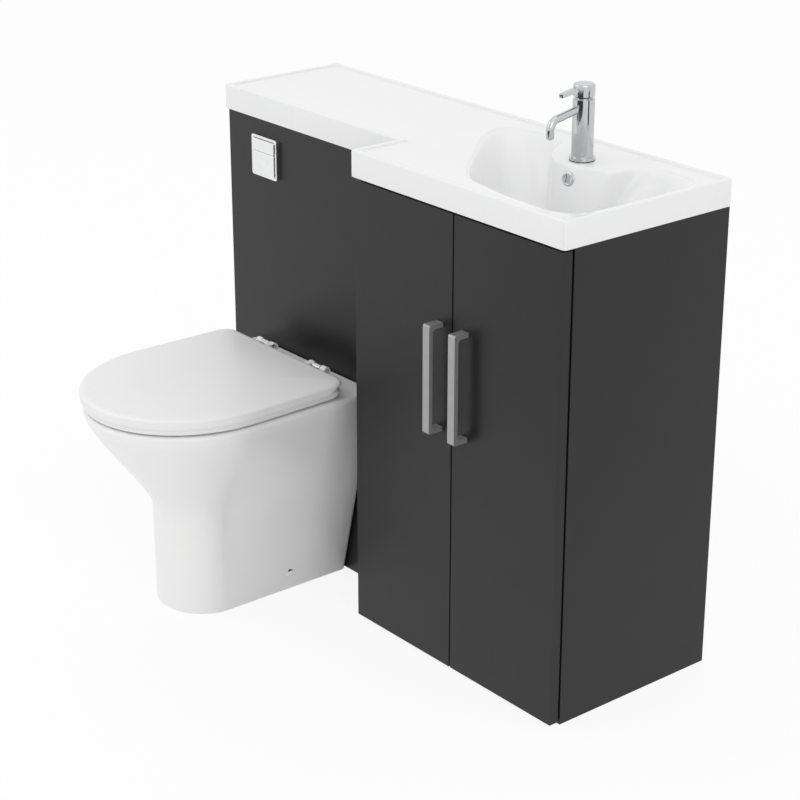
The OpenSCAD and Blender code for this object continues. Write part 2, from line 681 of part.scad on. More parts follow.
// overflow: a round hole under the ledge and a flat channel down the bowl's back to the waste
over_at = [tap_at.x + 8, deck_z - overflow_drop];
bowl_foot = -waste_y + flat_d / 2;                  // back of the flat bottom
duct_y = mix(ledge_front, bowl_foot, 0.21) + bowl_wall + 0.6; // front of the channel at its top
waste_bottom = deck_z - bowl_depth - bowl_wall - 6; // underside of the waste's seat
module duct_side(half, pts) translate([over_at.x - half, 0, 0]) rotate([90, 0, 90])
  linear_extrude(2 * half) polygon(pts);
module basin_top() color(white) difference() {
  union() {
    difference() {
      union() {
        translate([0, 0, unit_h]) linear_extrude(deck_z - unit_h) top_plan(0);
        translate([0, 0, deck_z - e]) linear_extrude(lip_h + e) difference() {
          top_plan(0);
          top_plan(lip_w);
        }
      }
      translate([0, 0, unit_h - 1]) linear_extrude(skin_z - unit_h + 1) top_plan(band_t);
    }
    skin(concat([for (k = [0:5]) let (w = wall_marks[k])
      bowl_ring(w, bowl_wall, deck_z - bowl_depth * w[1] - bowl_wall)],
      [for (z = [skin_z - 2, deck_z - 2]) bowl_ring([0, 0, 0], bowl_wall, z)]));
    // seat of the waste
    translate([waste_at.x, waste_at.y, 0])
      rod(waste_hole_r + 9, waste_bottom, deck_z - bowl_depth - 1);
    duct_side(overflow_r + 3.5, [[duct_y - 30, skin_z + 1], [min(duct_y + 6, -tap_y - tap_r - 5), skin_z + 1],
      [min(duct_y + 6, -tap_y - tap_r - 5), skin_z - 6], [duct_y + 14, skin_z - 15],
      [bowl_foot + bowl_wall + 14, waste_bottom], [-waste_y, waste_bottom], [-waste_y, deck_z - bowl_depth - 1]]);
  }
  skin(concat([for (w = wall_marks) bowl_ring(w, 0, deck_z - bowl_depth * w[1])],
    [bowl_ring([0, 0, 4.2], 0, deck_z + lip_h + 2)]));
  translate([waste_at.x, waste_at.y, 0]) rod(waste_hole_r, deck_z - bowl_depth - 40, deck_z);
  translate([tap_at.x, tap_at.y, 0]) rod(tap_hole_r, unit_h, deck_z + 1);
  translate([over_at.x, 0, over_at.y]) rod_y(overflow_r, duct_y - 40, duct_y + 2.5, 48);
  duct_side(8, [[duct_y, skin_z - 12], [duct_y + 4, skin_z - 12], [duct_y + 10, skin_z - 18],
    [bowl_foot + bowl_wall + 10, waste_bottom + 4], [-waste_y, waste_bottom + 4],
    [-waste_y, waste_bottom + 10], [bowl_foot + bowl_wall, waste_bottom + 10]]);
}

// ---------- waste and trap ----------

floor_z = deck_z - bowl_depth;                     // flat bottom of the bowl
seat_z = floor_z - bowl_wall - 6;                  // underside of the waste's seat
tail_z = seat_z - waste_len;                       // bottom of the waste
flange_t = 3;

module at_waste() translate([waste_at.x, waste_at.y, 0]) children();
module waste_flange() color(chrome) at_waste() difference() {
  union() {
    rod(flange_r, floor_z, floor_z + flange_t);
    rod(waste_r, tail_z, floor_z + e);
  }
  rod(waste_r - 1.9, tail_z - 1, floor_z + flange_t + 1);
  // overflow slots just under the bowl
  for (a = [0, 180]) rotate([0, 0, a]) box([10, -6, seat_z + 4], [30, 6, floor_z - 3]);
}

// push plug: a domed cap over the flange, on a stem guided by a cross in the waste
module waste_plug() color(chrome) at_waste() {
  rotate_extrude($fn = 96) polygon([[0, floor_z + flange_t + 0.4], [flange_r - 5, floor_z + flange_t + 0.4],
    [flange_r - 3.6, floor_z + flange_t + 1.4], [flange_r - 5, floor_z + flange_t + 3.2],
    [flange_r - 14, floor_z + flange_t + 4.6], [0, floor_z + flange_t + 5.2]]);
  rod(3, floor_z - 26, floor_z + flange_t + 1, 32);
  difference() {
    rod(waste_r - 2, floor_z - 22, floor_z - 18);
    for (a = [0:90:270]) rotate([0, 0, a]) translate([10.5, 0, 0]) rod(5.5, floor_z - 23, floor_z - 17, 48);
  }
}

module waste_nut() color(plastic) at_waste() {
  difference() {
    rod(waste_hole_r + 7, seat_z - 4, seat_z);
    rod(waste_r, seat_z - 5, seat_z + 1);
  }
  difference() {
    rod(waste_hole_r + 8, seat_z - 16, seat_z - 4, 6);
    rod(waste_r, seat_z - 17, seat_z);
  }
}

neck_z = tail_z - 6;                               // top of the bottle
trap_z = neck_z - 24;                              // axis of the trap's outlet
module bottle_trap() color(plastic) at_waste() difference() {
  union() {
    rod(bottle_r, neck_z - bottle_h, neck_z);
    rod(waste_r, neck_z - e, tail_z - 5.5);
    rod(bottle_r + 2.5, neck_z - bottle_h - 8, neck_z - bottle_h + 10, 12);
    translate([0, 0, trap_z]) rod_y(pipe_r + 4, 0, bottle_r + 22);
  }
  rod(bottle_r - 3, neck_z - bottle_h - 5, neck_z - 4);
  rod(waste_r - 1.9, neck_z - 10, neck_z + 8);
  translate([0, 0, trap_z]) rod_y(pipe_r - 2, 5, bottle_r + 30);
  translate([0, 0, trap_z]) rod_y(pipe_r + run, bottle_r + 4, bottle_r + 30);
}

pipe_nut = [bottle_r + 22, bottle_r + 38];          // nut of the waste pipe, from the bottle's axis
olive_r = pipe_r + 1.2;
module trap_nuts() color(plastic) at_waste() {
  difference() {
    rod(waste_r + 5, tail_z - 5.5, tail_z + 14, 12);
    rod(waste_r, tail_z - 7, tail_z + 20);
  }
  translate([0, 0, trap_z]) difference() {
    rod_y(pipe_r + 7, pipe_nut[0], pipe_nut[1], 12);
    rod_y(pipe_r + run, bottle_r, bottle_r + 60);
    rod_y(olive_r + run, pipe_nut[1] - 6, pipe_nut[1] + 1);
  }
}

// waste pipe to the wall, with the ring that the nut squeezes on it
module trap_pipe() color(plastic) translate([waste_at.x, waste_at.y, trap_z]) difference() {
  union() {
    rod_y(pipe_r, bottle_r + 4, -waste_at.y - 4);
    rod_y(olive_r, pipe_nut[1] - 6, pipe_nut[1]);
  }
  rod_y(pipe_r - 2, bottle_r, -waste_at.y);
}

// ---------- tap ----------

seal_t = 1.5;
tap_z = deck_z + seal_t;                           // foot of the tap
cap_z = tap_z + tap_h;                             // joint between column and cap
ball_z = cap_z + 6;                                // axis on which the lever tilts
module at_tap() translate([tap_at.x, tap_at.y, 0]) children();

module tap_body() color(chrome) at_tap() difference() {
  union() {
    rod(tap_r + 3, tap_z, tap_z + 5, 96);
    rod(tap_r, tap_z + 5 - e, cap_z - 0.5, 96);
    rod(14, cap_z - 1, cap_z + 1.6, 64);
  }
  rod(11, cap_z - 12, cap_z + 3, 64);              // socket of the cartridge
  rod(3, tap_z - 1, tap_z + 18, 32);               // stud
  for (k = [-1, 1]) translate([11 * k, 0, 0]) rod(4.5, tap_z - 1, tap_z + 14, 32);
}

// turning core of the cartridge, with the cross pin on which the cap tilts
module tap_stem() color(steel) at_tap() {
  rod(11 - run, cap_z - 11, cap_z - 1, 64);
  box([-4, 4, cap_z - 1 - e], [4, 10, ball_z + 2]);
  translate([0, tilt_y, ball_z]) rod_x(tilt_pin_r, -10, 10, 32);
}

// turning cap with its lever, hollow under and hung on the core's cross pin
module tap_lever() color(chrome) at_tap() difference() {
  union() {
    difference() {
      translate([0, 0, cap_z]) rotate_extrude($fn = 96) polygon([[0, 3.2], [tap_r - 0.9, 3.2], [tap_r, 4.2],
        [tap_r, cap_h - 3], [tap_r - 0.9, cap_h - 0.9], [tap_r - 3, cap_h], [0, cap_h]]);
      translate([0, 0, cap_z]) rod(tap_r - 2.5, 0, cap_h - 12, 96);
    }
    for (k = [0, 1]) mirror([k, 0, 0])
      box([6, tilt_y - 5.5, ball_z - 2.6], [11, tilt_y + 5.5, cap_z + cap_h - 11]);
    // lever: a bar that narrows and drops a little to its tip
    translate([0, 0, cap_z + cap_h - 2]) rotate([lever_tilt, 0, 0])
      translate([0, 0, -7]) linear_extrude(6) polygon([[-6.5, 0], [-5, -lever_len + 5],
        [-3.5, -lever_len + 1], [0, -lever_len], [3.5, -lever_len + 1], [5, -lever_len + 5], [6.5, 0]]);
  }
  translate([0, tilt_y, ball_z]) rod_x(tilt_pin_r + run, -10.2, 10.2, 32);
}
tilt_y = 7.5;                                      // the tilt axis, behind the column's centre
tilt_pin_r = 1.5;
lever_tilt = 8;

// spout: a sloping tube that bends down at its end, with a short upright mouth
spout_run = (spout_reach - spout_bend + spout_bend * sin(spout_slope)) / cos(spout_slope);
mouth_top = tap_z + spout_z - spout_run * sin(spout_slope) - spout_bend * cos(spout_slope);
mouth_z = mouth_top - spout_mouth;
module tap_spout() color(chrome) at_tap() difference() {
  union() {
    translate([0, 0, tap_z + spout_z]) rotate([spout_slope, 0, 0]) {
      rod_y(spout_r, -spout_run, -tap_r * 0.55);
      translate([0, -spout_run, -spout_bend]) rotate([90, 0, -90])
        rotate_extrude(angle = 90 - spout_slope, start = spout_slope, $fn = 96)
          translate([spout_bend, 0]) circle(spout_r, $fn = 48);
    }
    translate([0, -spout_reach, 0]) rod(spout_r + 0.05, mouth_z, mouth_top + 0.5);
  }
  rod(tap_r, tap_z, tap_z + tap_h, 96);
  translate([0, -spout_reach, 0]) rod(spout_r - 1.5, mouth_z - 1, mouth_z + 5);
}
module tap_aerator() color(steel) at_tap() translate([0, -spout_reach, 0]) difference() {
  rod(spout_r - 1.5, mouth_z - 1.5, mouth_z + 5);
  for (x = [-3, 0, 3], y = [-3, 0, 3]) translate([x, y, 0]) rod(0.9, mouth_z - 3, mouth_z + 3, 24);
}

module tap_seal() color(rubber) at_tap() difference() {
  rod(tap_r + 2.6, deck_z, tap_z);
  rod(max(tap_r - 2, 16), deck_z - 1, tap_z + 1);
}

// stud, horseshoe washers and nut that clamp the tap under the deck
module tap_fixing() color(steel) at_tap() {
  rod(2.95, skin_z - 42, tap_z + 17, 32);
  difference() {
    rod(tap_r + 3, skin_z - 5, skin_z);
    for (k = [-1, 1]) translate([11 * k, 0, 0]) rod(6, skin_z - 6, skin_z + 1, 48);
  }
  rod(6.5, skin_z - 15, skin_z - 5 + e, 6);
}

// ---------- toilet pan ----------

pan_y = -wc_d;                                     // back of the pan, on the panel
pan_cy = pan_y - bowl_y;                           // centre of the bowl
arc_n = 13;                                        // stations from the front to the widest point
side_n = 4;
// plan of the outside, front centre first, to the right and round the back.
// a, ar: half widths at the bowl's centre and at the back; f: front; b: back; rc: back corner
function half_plan(a, ar, f, b, rc) = concat(
  [for (i = [0:arc_n - 1]) let (t = 90 * i / (arc_n - 1)) [a * sin(t), pan_cy - (pan_cy - f) * cos(t)]],
  [for (i = [1:side_n]) let (t = i / side_n) [mix(a, ar, t), mix(pan_cy, b - rc, t)]],
  [for (t = [30, 60, 90]) [ar - rc + rc * cos(t), b - rc + rc * sin(t)]],
  [for (t = [0.66, 0.33]) [t * (ar - rc), b]]);
half_n = arc_n + side_n + 5;
// egg shape for the bowl, with the same stations
function half_egg(a, f, b, cy = pan_cy) = [for (i = [0:half_n - 1])
  let (t = i < arc_n ? 90 * i / (arc_n - 1) : 90 + 90 * (i - arc_n + 1) / (half_n - arc_n + 1))
  [a * sin(t), t <= 90 ? cy - (cy - f) * cos(t) : cy - (b - cy) * cos(t)]];
function whole(h, z, back) = concat([for (p = h) [pan_x + p.x, p.y, z]], [[pan_x, back, z]],
  [for (i = [len(h) - 1:-1:1]) [pan_x - h[i].x, h[i].y, z]]);
function plan_ring(a, ar, f, b, rc, z) = whole(half_plan(a, ar, f, b, rc), z, b);
function egg_ring(a, f, b, z) = whole(half_egg(a, f, b), z, b);

rim_a = pan_w / 2;
foot_a = foot_w / 2;
foot_ar = foot_back_w / 2;
pan_f = pan_y - pan_len;                           // front of the rim
foot_f = pan_f + foot_back;
// the skirt from the floor up: [height share above the straight foot, share of the way out]
flare = [[0, 0], [0.08, 0.03], [0.2, 0.13], [0.4, 0.36], [0.6, 0.6], [0.8, 0.83], [0.92, 0.95]];
function skirt_ring(z, t, u, inset) = plan_ring(mix(foot_a, rim_a, t) - inset, mix(foot_ar, rim_a, u) - inset,
  mix(foot_f, pan_f, t) + inset, pan_y - inset, max(10 - inset, 2), z);
function skirt(z0, inset) = [for (w = flare) let (z = mix(foot_h, pan_h - 8, w[0]))
  skirt_ring(z, w[1], z / pan_h, inset)];

bowl_a = pan_w / 2 - 46;                           // half width of the bowl's mouth
bowl_f = pan_f + 46;
bowl_b = pan_cy + 128;
function bowl_mark(k) = // [height, half width, front, back] of the bowl's inside
  let (h = pan_h - sump_z) [
  [sump_z, 52, pan_cy - 52, pan_cy + 52],
  [sump_z + h * 0.05, foot_a - china - 16, pan_cy - 56, pan_cy + 60],
  [sump_z + h * 0.25, foot_a - china - 8, pan_cy - 60, pan_cy + 84],
  [sump_z + h * 0.50, 98, mix(pan_cy - 52, bowl_f, 0.47), mix(pan_cy + 52, bowl_b, 0.70)],
  [sump_z + h * 0.75, bowl_a - 9, bowl_f + 12, bowl_b - 9],
  [pan_h - 12, bowl_a - 2, bowl_f + 2, bowl_b - 2],
  [pan_h - 3, bowl_a, bowl_f, bowl_b],
  [pan_h, bowl_a + 3, bowl_f - 3, bowl_b + 3]][k];
function bowl_in(k) = let (m = bowl_mark(k)) egg_ring(m[1], m[2], m[3], m[0]);
function bowl_under(k) = let (m = bowl_mark(k))
  egg_ring(m[1] + china, m[2] - china, m[3] + china, m[0] - (k == 0 ? china : china * 0.5));

inlet_r = flush_r + 7;                             // socket of the flush pipe in the pan
inlet_deep = 30;
trap_turn = trap_r + china + 2;                    // radius of the trap's bend to the back
trap_up = outlet_z - trap_turn;                    // where its rise ends
module trap_path(r, out0, out1) translate([pan_x, pan_cy, 0]) {
  z0 = sump_z - 37;
  rod(r, z0, sump_z - china + out0);
  translate([0, trap_bend, z0]) rotate([90, 0, 90]) rotate_extrude(angle = 180, start = 180, $fn = 96)
    translate([trap_bend, 0]) circle(r, $fn = 64);
  translate([0, 2 * trap_bend, 0]) rod(r, z0, trap_up);
  translate([0, 2 * trap_bend + trap_turn, trap_up]) rotate([90, 0, 90])
    rotate_extrude(angle = 90, start = 90, $fn = 96) translate([trap_turn, 0]) circle(r, $fn = 64);
  translate([0, 0, outlet_z]) rod_y(r, 2 * trap_bend + trap_turn, bowl_y + out1);
}

module toilet_pan() color(white) difference() {
  union() {
    skin(concat(
      [for (k = [0:6]) bowl_under(k == 6 ? 5 : k)] == [] ? [] : [for (k = [0:4]) bowl_under(k)],
      [skirt_ring(pan_h - 14, 1, (pan_h - 14) / pan_h, china)],
      [for (i = [len(flare) - 1:-1:0]) skirt(0, china)[i]],
      [skirt_ring(0, 0, 0, china), skirt_ring(0, 0, 0, 0)],
      skirt(0, 0),
      [skirt_ring(pan_h - 6, 1, 1, 0), skirt_ring(pan_h - 2, 1, 1, 2), skirt_ring(pan_h, 1, 1, 6)],
      [for (k = [7:-1:0]) bowl_in(k)]));
    trap_path(trap_r + china - 1, 2, 0);
    translate([pan_x, pan_y - china, outlet_z]) rod_y(outlet_r, 0, 46);
    // flush inlet from the back wall to the bowl
    translate([pan_x, 0, flush_z]) rod_y(inlet_r + 7, bowl_b - 6, pan_y - 1);
  }
  trap_path(trap_r, 20, 60);
  translate([pan_x, 0, flush_z]) rod_y(inlet_r, -wc_d - inlet_deep, pan_y + 5);
  translate([pan_x, 0, flush_z]) rod_y(flush_r - 1, bowl_b - 45, pan_y);
  for (k = [-1, 1]) translate([pan_x, cap_y, cap_z0]) mirror([k < 0 ? 1 : 0, 0, 0]) {
    rod_x(4.5, cap_x - 25, cap_x + 5, 32);
    rod_x(9, cap_x - 3, cap_x + 20, 48);
  }
}
// screws of the pan's foot: height, distance from the cabinet and half the width between them
cap_z0 = 34;
cap_y = pan_y - bowl_y / 2;
cap_x = mix(foot_a, foot_ar + (rim_a - foot_ar) * cap_z0 / pan_h, bowl_y / 2 / (bowl_y - 10));

module pan_connector() color(plastic) translate([pan_x, 0, outlet_z]) difference() {
  union() {
    rod_y(outlet_r + 9, -wc_d + 8, -wc_d + 60);
    rod_y(55, -wc_d + 58, -6);
  }
  rod_y(outlet_r + run, -wc_d, pan_y - china + 46.1);
  rod_y(51, -wc_d + 20, 0);
}

module pan_brackets() color(plastic) for (k = [0, 1]) translate([pan_x, cap_y, 0]) mirror([k, 0, 0])
  difference() {
    union() {
      box([cap_x - 50, -16, 0], [cap_x - 17, 16, 5]);
      box([cap_x - 23, -16, 0], [cap_x - 17, 16, 50]);
    }
    translate([cap_x - 38, 0, 0]) rod(3.5, -1, 8, 32);
    translate([0, 0, cap_z0]) rod_x(3 + run, cap_x - 30, cap_x - 10, 32);
  }

// screws through the skirt, with domed caps in their counterbores
module pan_caps() color(chrome) for (k = [0, 1]) translate([pan_x, cap_y, cap_z0]) mirror([k, 0, 0])
  translate([cap_x, 0, 0]) {
    rod_x(3, -34, -2.9, 32);
    rotate([0, 90, 0]) rotate_extrude($fn = 64) polygon([[0, -3], [8.5, -3], [8.5, -0.6], [7, 0.9], [4, 1.8], [0, 2.1]]);
  }

// ---------- seat and lid ----------

seat_z0 = pan_h + seat_gap;
seat_top = seat_z0 + seat_t;
hinge_at = [pan_y - hinge_y, seat_top + 2];        // the hinge axis: y and z
lid_z0 = seat_top + lid_gap;                       // underside of the lid's plate
lid_z1 = lid_z0 + lid_wall;
seat_b = hinge_at[0] - 14;                         // back edges of the seat and the lid
lid_b = hinge_at[0] - 13;
post_w = 22;
knuckle = 8;

module at_hinge() translate([pan_x, hinge_at[0], hinge_at[1]]) children();

// posts on the pan's deck; each holds one pin for the seat and the lid
module seat_hinges() color(chrome) for (k = [0, 1]) translate([pan_x, hinge_at[0], 0]) mirror([k, 0, 0])
  translate([post_x, 0, 0]) {
    rod(15, pan_h, pan_h + 3, 64);
    rod(9, pan_h + 2, hinge_at[1], 64);
    translate([0, 0, hinge_at[1]]) {
      rod_x(9, -post_w / 2, post_w / 2, 64);
      rod_x(seat_pin_r, -post_w / 2 - 15, post_w / 2 + 15, 48);
    }
  }

seat_half_a = rim_a + lid_over - 5;
hole_a = seat_hole_w / 2;
hole_f = pan_cy - seat_hole_l / 2 - 12;
hole_b = hole_f + seat_hole_l;
// cross-section of the seat, outside to inside: [share of the width, height]
function seat_section(p, q) = let (t = seat_t) [for (s = [
  [0.02, 0.1], [0, 0.35], [0, 0.62], [0.03, 0.88], [0.10, 0.985], [0.24, 1.0],
  [0.72, 0.90], [0.90, 0.74], [0.985, 0.52], [1, 0.34], [0.97, 0.1], [0.90, 0], [0.08, 0]])
  let (m = mix(p, q, s[0])) [pan_x + m.x, m.y, seat_z0 + t * s[1]]];
function flat_ring(h, back) = [for (p = whole(h, 0, back)) [p.x - pan_x, p.y]];

module seat_ring() color(white) {
  outer = flat_ring(half_plan(seat_half_a, seat_half_a - 4, pan_f - lid_over + 5, seat_b, 26), seat_b);
  inner = flat_ring(half_egg(hole_a, hole_f, hole_b), hole_b);
  difference() {
    union() {
      hoop([for (i = [0:len(outer) - 1]) seat_section(outer[i], inner[i])]);
      for (k = [0, 1]) at_hinge() mirror([k, 0, 0]) {
        x0 = post_x + post_w / 2 + 0.4;
        rod_x(knuckle, x0, x0 + 13.6, 48);
        box([x0, seat_b - 12 - hinge_at[0], -seat_t - 0.5], [x0 + 13.6, 0, -4]);
      }
    }
    for (k = [0, 1]) at_hinge() mirror([k, 0, 0])
      rod_x(seat_pin_r + run, post_x, post_x + post_w / 2 + 16, 48);
  }
}

// point on the seat, share s of the way in from its edge, t degrees round from the front
function seat_point(s, t) = [mix(seat_half_a, hole_a, s) * sin(t),
  pan_cy - mix(pan_cy - pan_f + lid_over - 5, pan_cy - hole_f, s) * cos(t)];
module seat_buffers() color(plastic) for (k = [-1, 1], t = [42, 90])
  let (p = seat_point(0.36, t)) translate([pan_x + k * p.x, p.y, 0]) rod(7, pan_h + 0.05, seat_z0, 48);

// lid: a thin shell with a rolled edge that hangs round the seat's edge
lid_a = rim_a + lid_over;
lid_f = pan_f - lid_over;
function lid_ring(inset, z) = plan_ring(lid_a - inset, lid_a - inset - 3, lid_f + inset, lid_b - inset, max(30 - inset, 4), z);
// the edge hangs round the seat but rises clear of it along the back
function lid_edge(inset, z) = [for (p = lid_ring(inset, z))
  [p.x, p.y, z + max(0, lid_z0 + 0.5 - z) * min(1, max(0, (p.y - lid_b + 42) / 22))]];
module seat_lid() color(white) {
  top = lid_z1 + 3;
  skirt = top - lid_t;
  difference() {
    union() {
      skin([
        lid_ring(90, lid_z0 + 2), lid_ring(lid_wall + 14, lid_z0 + 2), lid_edge(lid_wall + 4, lid_z0 + 2),
        lid_edge(lid_wall + 1, lid_z0 - 3), lid_edge(lid_wall, skirt), lid_edge(0.8, skirt - e),
        lid_edge(0, skirt + 3), lid_ring(0, lid_z0 + 1), lid_ring(0.8, top - 6), lid_ring(3, top - 2.6), lid_ring(8, top - 0.6),
        lid_ring(16, top), lid_ring(60, top + 3), lid_ring(110, top + 4.5)]);
      for (k = [0, 1]) at_hinge() mirror([k, 0, 0]) {
        x1 = post_x - post_w / 2 - 0.4;
        rod_x(knuckle, x1 - 13.6, x1, 48);
        box([x1 - 13.6, lid_b - 2 - hinge_at[0], lid_z0 - hinge_at[1] - 2.5], [x1, 0, 7.5]);
      }
    }
    for (k = [0, 1]) at_hinge() mirror([k, 0, 0])
      rod_x(seat_pin_r + run, post_x - post_w / 2 - 16, post_x, 48);
  }
}

module lid_buffers() color(plastic) for (k = [-1, 1], t = [26, 84])
  let (p = seat_point(0.24, t)) translate([pan_x + k * p.x, p.y, 0]) rod(6, seat_top + 0.05, lid_z0 + 2, 48);

// ---------- selection ----------

vanity_side_left();
vanity_side_right();
vanity_base();
vanity_toe_rail();
vanity_rails();
vanity_back_panel();
vanity_shelf();
shelf_pins();
hinge_arms();
door_left();
door_right();
handle_left();
handle_right();
handle_screws_left();
handle_screws_right();
hinge_cups_left();
hinge_cups_right();
door_buffers_left();
door_buffers_right();
wc_side_left();
wc_side_right();
wc_front_panel();
wc_rails();
panel_clips();
cistern_rail();
cistern_tank();
cistern_lid();
flush_valve();
fill_valve();
flush_pipe();
flush_cone();
flush_plate();
button_housing();
button_bellows();
button_nut();
button_full();
button_half();
basin_top();
waste_flange();
waste_plug();
waste_nut();
bottle_trap();
trap_nuts();
trap_pipe();
tap_body();
tap_spout();
tap_aerator();
tap_stem();
tap_lever();
tap_seal();
tap_fixing();
toilet_pan();
pan_connector();
pan_brackets();
pan_caps();
seat_hinges();
seat_ring();
seat_buffers();
seat_lid();
lid_buffers();
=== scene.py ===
"""Looks of a toilet and basin combination unit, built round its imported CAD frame."""

import json
import logging
import math
from dataclasses import dataclass
from enum import Enum
from typing import ClassVar, Mapping, Sequence

import bmesh
import bpy
import numpy as np
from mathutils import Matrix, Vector

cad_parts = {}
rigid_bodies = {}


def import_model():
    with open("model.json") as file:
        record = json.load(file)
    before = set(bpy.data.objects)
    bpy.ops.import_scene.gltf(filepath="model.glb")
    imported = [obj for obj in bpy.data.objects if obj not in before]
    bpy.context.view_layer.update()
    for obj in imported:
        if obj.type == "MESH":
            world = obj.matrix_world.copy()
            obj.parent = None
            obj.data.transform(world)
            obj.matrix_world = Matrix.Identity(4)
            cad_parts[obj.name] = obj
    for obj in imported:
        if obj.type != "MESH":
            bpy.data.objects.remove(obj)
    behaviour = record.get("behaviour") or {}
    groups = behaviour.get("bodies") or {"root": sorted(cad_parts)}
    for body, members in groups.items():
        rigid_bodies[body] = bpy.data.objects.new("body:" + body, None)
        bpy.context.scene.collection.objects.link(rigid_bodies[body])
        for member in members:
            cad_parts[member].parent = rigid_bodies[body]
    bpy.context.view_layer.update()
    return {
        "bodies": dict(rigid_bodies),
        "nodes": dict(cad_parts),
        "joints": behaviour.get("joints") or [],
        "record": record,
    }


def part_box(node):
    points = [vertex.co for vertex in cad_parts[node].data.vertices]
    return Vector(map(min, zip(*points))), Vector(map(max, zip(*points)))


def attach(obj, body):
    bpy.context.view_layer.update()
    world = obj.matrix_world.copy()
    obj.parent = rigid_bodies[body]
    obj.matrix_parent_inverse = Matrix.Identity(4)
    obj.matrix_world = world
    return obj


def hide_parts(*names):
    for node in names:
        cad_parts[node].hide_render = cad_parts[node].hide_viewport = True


LOG = logging.getLogger("unit")
MM = 0.001
SHARP_ANGLE = 32.0
BEVEL_ANGLE = 38.0
FRAME_PX = 800.0
Colour = tuple[float, float, float]
Grid = np.ndarray
WHITE: Colour = (1.0, 1.0, 1.0)


class Shade(Enum):
    """How a piece's facets are shaded."""

    SMOOTH = "smooth all over"
    BY_ANGLE = "smooth between sharp edges"


# ---------------------------------------------------------------- shader helpers


class Term:
    """A shader socket that takes part in Python arithmetic."""

    def __init__(self, nodes: "Nodes", socket: bpy.types.NodeSocket) -> None:
        """Keep the socket and the tree that it belongs to."""
        self.nodes = nodes
        self.socket = socket

    def _op(self, operation: str, *values: "Term | float", clamp: bool = False) -> "Term":
        """Add one Math node.

        Args:
            operation: the Math node's operation.
            values: its inputs, in order.
            clamp: whether the result is held between 0 and 1.

        Returns:
            The node's result.
        """
        settings = {"operation": operation, "use_clamp": clamp}
        node = self.nodes.add("ShaderNodeMath", settings, dict(enumerate(values)))
        return Term(self.nodes, node.outputs[0])

    def __add__(self, other: "Term | float") -> "Term":
        """Sum."""
        return self._op("ADD", self, other)

    def __sub__(self, other: "Term | float") -> "Term":
        """Difference."""
        return self._op("SUBTRACT", self, other)

    def __rsub__(self, other: float) -> "Term":
        """Difference with a number on the left."""
        return self._op("SUBTRACT", other, self)

    def __mul__(self, other: "Term | float") -> "Term":
        """Product."""
        return self._op("MULTIPLY", self, other)

    __radd__ = __add__
    __rmul__ = __mul__

    def abs(self) -> "Term":
        """Size without its sign."""
        return self._op("ABSOLUTE", self)

    def sin(self) -> "Term":
        """Sine, in radians."""
        return self._op("SINE", self)

    def low(self, other: "Term | float") -> "Term":
        """Lesser of the two."""
        return self._op("MINIMUM", self, other)

    def high(self, other: "Term | float") -> "Term":
        """Greater of the two."""
        return self._op("MAXIMUM", self, other)

    def ramp(self, start: float, end: float) -> "Term":
        """Straight ramp from 0 at start to 1 at end, held at both."""
        return self._op("MULTIPLY", self - start, 1.0 / (end - start), clamp=True)

    def line(self, at: float, half: float) -> "Term":
        """Mask that is 1 at one value and falls to 0 at half a width from it."""
        return 1.0 - (self - at).abs().ramp(0.0, half)


class Nodes:
    """A node tree, emptied, and the one method that adds its nodes."""

    def __init__(self, tree: bpy.types.NodeTree) -> None:
        """Empty the tree."""
        self.tree = tree
        self.tree.nodes.clear()

    def feed(self, socket: bpy.types.NodeSocket, value: object) -> None:
        """Link a socket to a Term or a socket, or set it; a colour gets an alpha of 1.

        Args:
            socket: the input.
            value: what it gets.
        """
        if isinstance(value, Term):
            value = value.socket
        if isinstance(value, bpy.types.NodeSocket):
            self.tree.links.new(value, socket)
        elif isinstance(value, tuple):
            socket.default_value = (*value, 1.0)
        else:
            socket.default_value = value

    def add(self, kind: str, settings: Mapping[str, object] | None = None,
            sockets: Mapping[object, object] | None = None) -> bpy.types.Node:
        """Add a node.

        Args:
            kind: the node's type.
            settings: properties set first, such as an operation.
            sockets: values or links for its inputs, by name or index.

        Returns:
            The node.
        """
        node = self.tree.nodes.new(kind)
        for key, value in (settings or {}).items():
            setattr(node, key, value)
        for key, value in (sockets or {}).items():
            self.feed(node.inputs[key], value)
        return node

    def seen_straight(self) -> Term:
        """Return 1 for rays from the camera, off a mirror or through glass, and 0 for scattered light."""
        path = self.add("ShaderNodeLightPath")
        camera, mirror, glass = (Term(self, path.outputs[f"Is {kind} Ray"])
                                 for kind in ("Camera", "Glossy", "Transmission"))
        return camera.high(mirror).high(glass)

    def mixed(self, output: str, factor: Term, first: bpy.types.Node, second: bpy.types.Node) -> None:
        """End the tree with two shaders mixed by a factor.

        Args:
            output: type of the output node.
            factor: share of the second shader.
            first: shader for a factor of 0.
            second: shader for a factor of 1.
        """
        both = self.add("ShaderNodeMixShader", None, {0: factor, 1: first.outputs[0], 2: second.outputs[0]})
        self.add(output, None, {0: both.outputs[0]})


